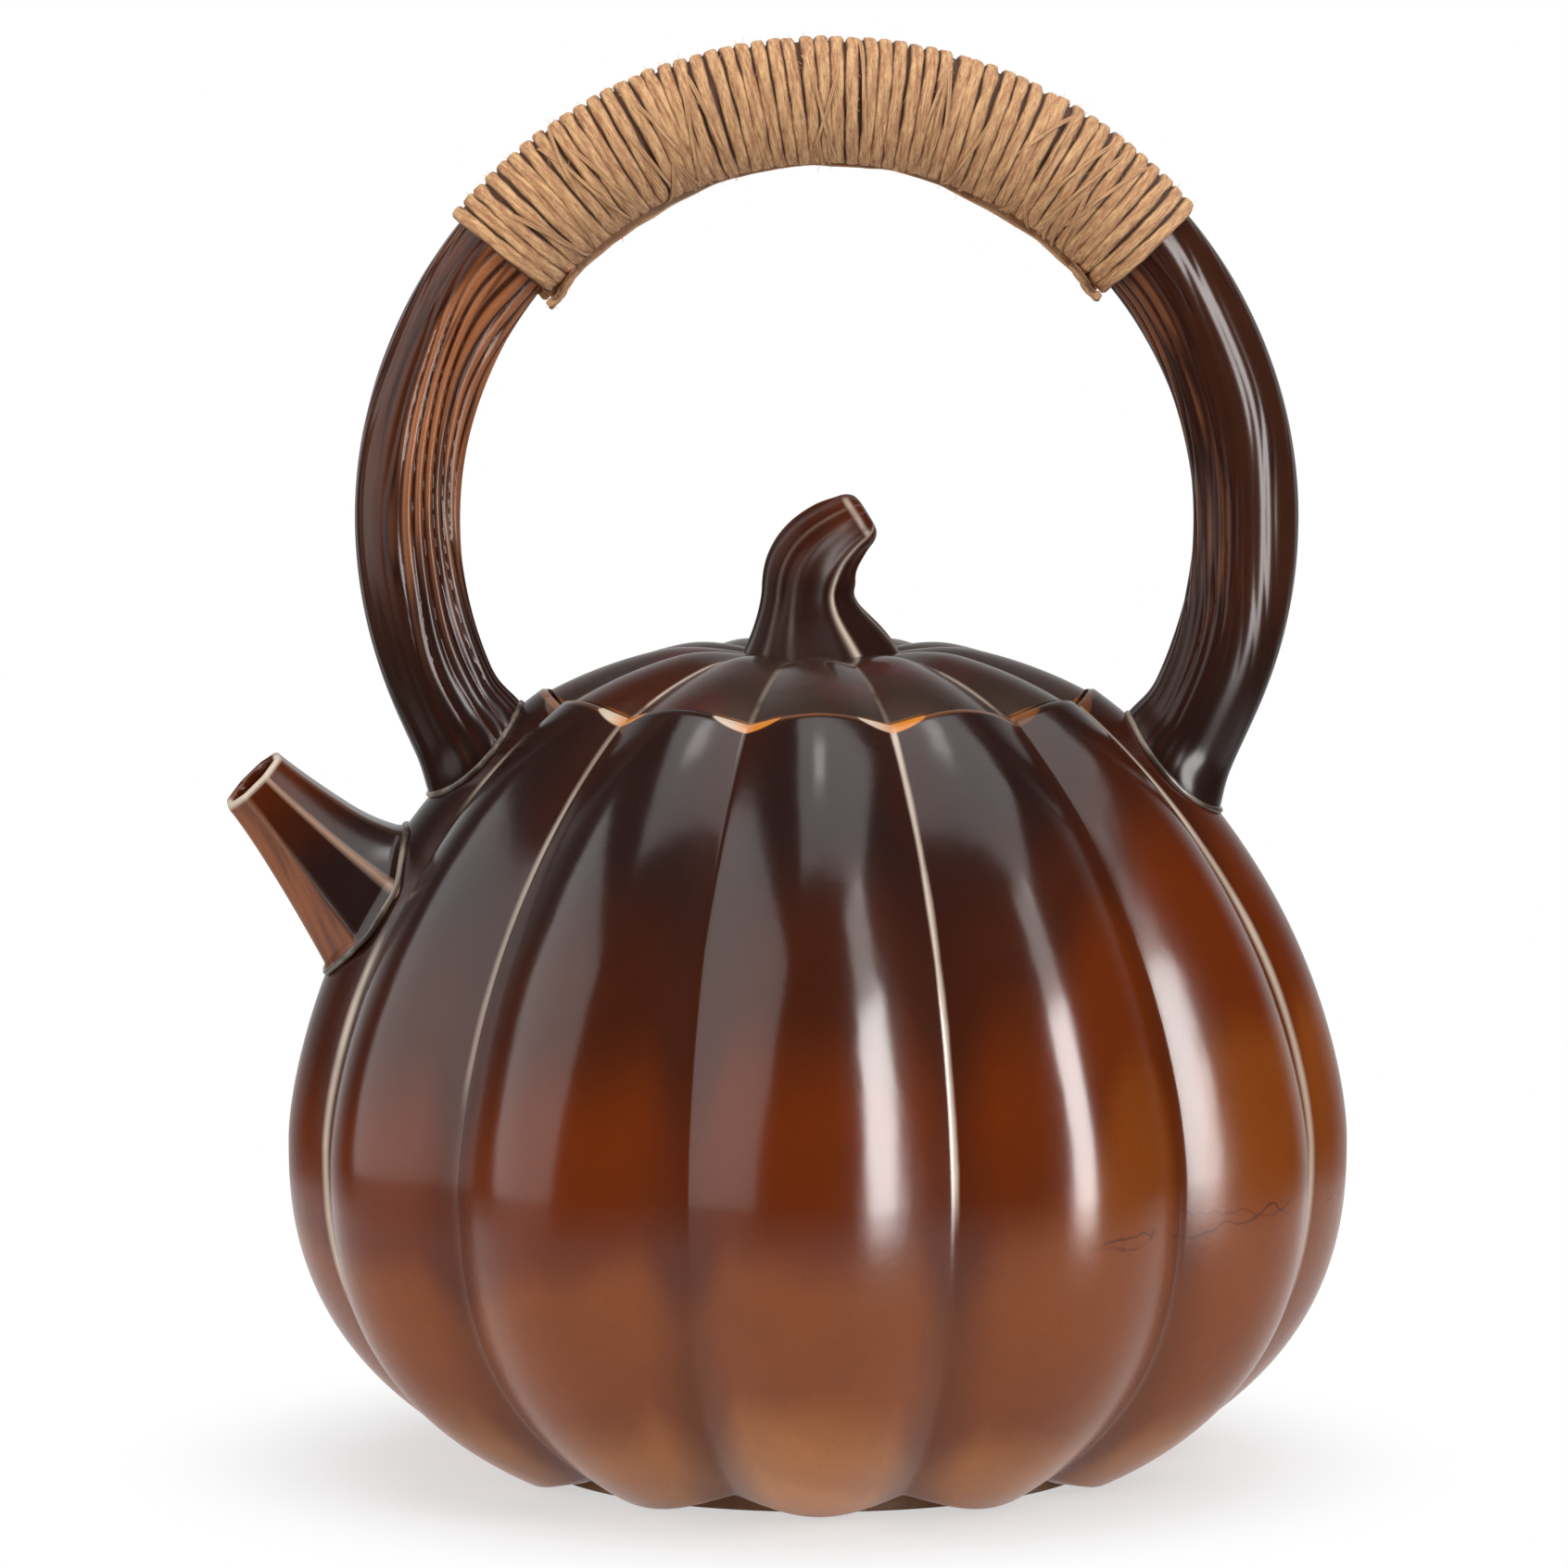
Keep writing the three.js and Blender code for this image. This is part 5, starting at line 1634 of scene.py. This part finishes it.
class TEAPOT_OT_knob(TeapotOperator, bpy.types.Operator):
    """Make the curved stem that the lid is lifted by"""

    bl_idname = "teapot.knob"
    bl_label = "Stem Knob"

    def execute(self, context):
        knob = self.settings("knob")
        lid = self.settings("lid")
        body = self.settings("body")
        middle = float(lid_height(np.array([0.0]), lid, body)[0])
        line, tangent, stations = even_path(self.middle_line(knob, middle), 170)
        along = stations / stations[-1]
        columns = 220
        angles = np.broadcast_to(round_angles(columns), (len(line), columns))
        stem = knob.base_radius + (knob.neck_radius - knob.base_radius) * ease(along, 0, 0.5)
        stem = stem + (knob.end_radius - stem) * ease(along, 0.55, 1.0)
        bearing = 1.5 * math.pi - angles + 0.1 * np.sin(along * 5)[:, None]
        ribs, crest = self.ribs(bearing, along, knob)
        radius = stem[:, None] * 0.96 + ribs * (0.55 + 0.45 * stem / knob.neck_radius)[:, None]
        soft = 0.0019
        near_end = np.clip(stations - stations[-1] + soft, 0, soft)
        rounding = soft - np.sqrt(np.clip(soft**2 - near_end**2, 0, None))
        rings = swept(line, tangent, radius - rounding[:, None], angles)
        sunk = 0.0014
        floor = lid_height(np.hypot(rings[..., 0], rings[..., 1]), lid, body) - sunk
        rings[..., 2] = np.maximum(rings[..., 2], floor)
        stem_piece = loft("curved_stem", rings)
        mark(stem_piece, "along", np.repeat(along[:, None], columns, 1))
        mark(stem_piece, "crest", crest)
        stem_piece.data.materials.append(ribbed_material(self.settings("glaze")))
        place(stem_piece, "lid", "dark_glaze", "stem_knob")
        return {"FINISHED"}

    @staticmethod
    def middle_line(knob, middle):
        """Up from the lid, a little to the left, then over to the right to the cut end."""
        neck = (-knob.lean, 0, middle + 0.45 * knob.height)
        end = (knob.curl, 0, middle + knob.height)
        reach = 0.26 * knob.height
        over = (end[0] - math.cos(knob.end_turn) * reach, 0, end[2] - math.sin(knob.end_turn) * reach)
        foot = (0, 0, middle - 0.2 * knob.height)
        rise = (-0.1 * knob.lean, 0, middle + 0.1 * knob.height)
        below = (-knob.lean, 0, middle + 0.22 * knob.height)
        above = (-knob.lean, 0, middle + 0.74 * knob.height)
        return np.vstack([bezier(foot, rise, below, neck, 60)[:-1], bezier(neck, above, over, end, 80)])

    @staticmethod
    def ribs(bearing, along, knob):
        """Height of the ribs, and how much cream is painted on them as a highlight, the most on the rib at
        the right, with more round the front of the cut end. Each rib: bearing, fine or not, and cream.
        """
        height = np.zeros(bearing.shape)
        crest = np.zeros(bearing.shape)
        layout = [(-62, 1, 0.1), (-38, 1, 0.16), (-14, 1, 0.14), (34, 0, 1.0), (78, 0, 0.4), (112, 0, 0.5)]
        layout += [(150, 0, 0.4), (190, 0, 0.5), (228, 0, 0.4), (264, 0, 0.3)]
        for middle, fine, cream in layout:
            bright = cream == 1.0
            off = (bearing - math.radians(middle) + math.pi) % (2 * math.pi) - math.pi
            width = knob.rib_width * (1.25 if fine else 1.0)
            near_end = (0.3 if bright else 0.85) * ease(along, 0.82, 0.96)[:, None]
            rib = np.exp(-((off / width) ** 2)) * (1 - near_end)
            height += rib * (knob.fine_rib_height if fine else knob.rib_height)
            # Each rib's cream is its painted highlight.
            line = width * (0.43 if bright else 0.36)
            crest = np.maximum(crest, cream * np.exp(-((off / line) ** 2)))
        # Painted highlight round the front of the cut end's rim.
        front = (bearing + math.pi) % (2 * math.pi) - math.pi
        edge = ease(along, 0.925, 0.945) * (1 - ease(along, 0.95, 0.97))
        edge = edge[:, None] * ease(front, -1.4, -1.1) * (1 - ease(front, 0.6, 0.7))
        return height, np.maximum(crest, 0.8 * edge)


# Studio


class TEAPOT_OT_studio(TeapotOperator, bpy.types.Operator):
    """Set up the table, the lamps, the white surroundings and the camera"""

    bl_idname = "teapot.studio"
    bl_label = "Studio"

    def execute(self, context):
        studio = self.settings("studio")
        self.make_table(studio)
        self.make_lamps()
        self.make_surroundings(context)
        self.make_camera(context, studio)
        context.scene.view_settings.view_transform = "Standard"
        return {"FINISHED"}

    @staticmethod
    def make_table(studio):
        rings = []
        for radius, z in ((0.97, 0.0), (1.0, -0.0006), (1.0, -0.006), (0.97, -0.0066)):
            turn = round_angles(96)
            reach = studio.table_radius * radius
            rings.append(np.stack([reach * np.cos(turn), reach * np.sin(turn), turn * 0 + z], axis=1))
        table = loft("table_top", np.array(rings))
        table.data.materials.append(table_material(studio.table_radius))

    @staticmethod
    def make_lamps():
        """Each lamp: name, bearing, reach, height, width, tall, radiance, and what it lights."""
        lamps = [
            ("tall_softbox", 46, 0.80, 0.22, 0.28, 0.68, 23.0, "gloss"),
            ("tall_softbox_top", 46, 0.70, 0.74, 0.27, 0.36, 5.0, "gloss"),
            ("left_panel", -78, 1.00, 0.45, 1.30, 1.20, 2.2, "gloss"),
            ("key_light", 45, 1.30, 1.00, 0.80, 0.80, 4.2, "fill"),
            ("left_light", -60, 1.40, 0.70, 1.00, 1.00, 1.8, "fill"),
        ]
        for lamp in lamps:
            add_lamp(*lamp)
        overhead = [
            ("overhead_panel", 0, 0.05, 1.10, 0.90, 0.70, 1.6, "fill"),
            ("overhead_glow", 60, 0.25, 1.15, 1.10, 0.80, 2.2, "gloss"),
            ("small_overhead", 0, 0.05, 1.12, 0.15, 0.20, 5.0, "gloss"),
        ]
        for lamp in overhead:
            add_lamp(*lamp).rotation_euler = (0, 0, 0)

    @staticmethod
    def make_surroundings(context):
        """Plain white for what is seen, soft grey light, and a dark room in front for reflections."""
        world = bpy.data.worlds.new("white_studio")
        context.scene.world = world
        world.use_nodes = True
        tree = world.node_tree
        path = add(tree, "ShaderNodeLightPath").outputs
        way = add(tree, "ShaderNodeTexCoord").outputs["Generated"]
        back = add(tree, "ShaderNodeSeparateXYZ", {0: way}).outputs["Y"]
        room = ranged(tree, back, 0.5, 1.0, 0.04, 0.6)
        mirrored = times(tree, path["Is Glossy Ray"], room)
        plain = maths(tree, "MAXIMUM", path["Is Camera Ray"], path["Is Transmission Ray"])
        seen = maths(tree, "MAXIMUM", plain, mirrored)
        diffuse = times(tree, path["Is Diffuse Ray"], 0.45)
        strength = maths(tree, "MAXIMUM", seen, diffuse)
        background = tree.nodes["Background"]
        background.inputs["Color"].default_value = (1, 1, 1, 1)
        tree.links.new(strength, background.inputs["Strength"])

    @staticmethod
    def make_camera(context, studio):
        lens = bpy.data.cameras.new("photo_camera")
        lens.lens = studio.focal_length
        lens.sensor_width = 36
        camera = bpy.data.objects.new("photo_camera", lens)
        context.scene.collection.objects.link(camera)
        side = AXIS[0] + studio.camera_side
        camera.location = (side, -studio.camera_reach, studio.camera_height)
        aim = Vector((side, 0, studio.aim_height)) - camera.location
        camera.rotation_euler = aim.to_track_quat("-Z", "Y").to_euler()
        context.scene.camera = camera


def add_lamp(name, bearing, reach, height, width, tall, radiance, use):
    """A soft panel that faces the pot. Bearing is in degrees from the camera's side to the right."""
    lamp = bpy.data.lights.new(name, "AREA")
    lamp.shape = "RECTANGLE"
    lamp.size = width
    lamp.size_y = tall
    lamp.energy = radiance * math.pi * width * tall
    panel = bpy.data.objects.new(name, lamp)
    bpy.context.scene.collection.objects.link(panel)
    turn = math.radians(bearing)
    panel.location = (AXIS[0] + reach * math.sin(turn), -reach * math.cos(turn), height)
    aim = Vector((AXIS[0], 0, 0.09)) - panel.location
    if use == "gloss":
        panel.visible_diffuse = False
    elif use == "fill":
        panel.visible_glossy = False
    panel.rotation_euler = aim.to_track_quat("-Z", "Y").to_euler()
    return panel


# Add-on


OPERATORS = [
    TEAPOT_OT_groups,
    TEAPOT_OT_body,
    TEAPOT_OT_spout,
    TEAPOT_OT_handle,
    TEAPOT_OT_twine,
    TEAPOT_OT_lid,
    TEAPOT_OT_knob,
    TEAPOT_OT_studio,
]


class TEAPOT_PT_pieces(bpy.types.Panel):
    """Lists the teapot's pieces and their settings"""

    bl_idname = "TEAPOT_PT_pieces"
    bl_label = "Lobed Teapot"
    bl_space_type = "VIEW_3D"
    bl_region_type = "UI"
    bl_category = "Teapot"

    def draw(self, context):
        for operator in OPERATORS:
            self.layout.operator(operator.bl_idname)
        for name, group in SETTINGS.items():
            box = self.layout.box()
            box.label(text=name.replace("_", " ").capitalize())
            for label in group.__annotations__:
                box.prop(getattr(context.scene, name), label)


CLASSES = [*SETTINGS.values(), *OPERATORS, TEAPOT_PT_pieces]


def register():
    for item in CLASSES:
        bpy.utils.register_class(item)
    for name, group in SETTINGS.items():
        setattr(bpy.types.Scene, name, PointerProperty(type=group))


def unregister():
    for name in SETTINGS:
        delattr(bpy.types.Scene, name)
    for item in reversed(CLASSES):
        bpy.utils.unregister_class(item)


def main():
    register()
    bpy.ops.teapot.groups()
    bpy.ops.teapot.body()
    bpy.ops.teapot.spout()
    bpy.ops.teapot.handle()
    bpy.ops.teapot.twine()
    bpy.ops.teapot.lid()
    bpy.ops.teapot.knob()
    bpy.ops.teapot.studio()


if __name__ == "__main__":
    main()
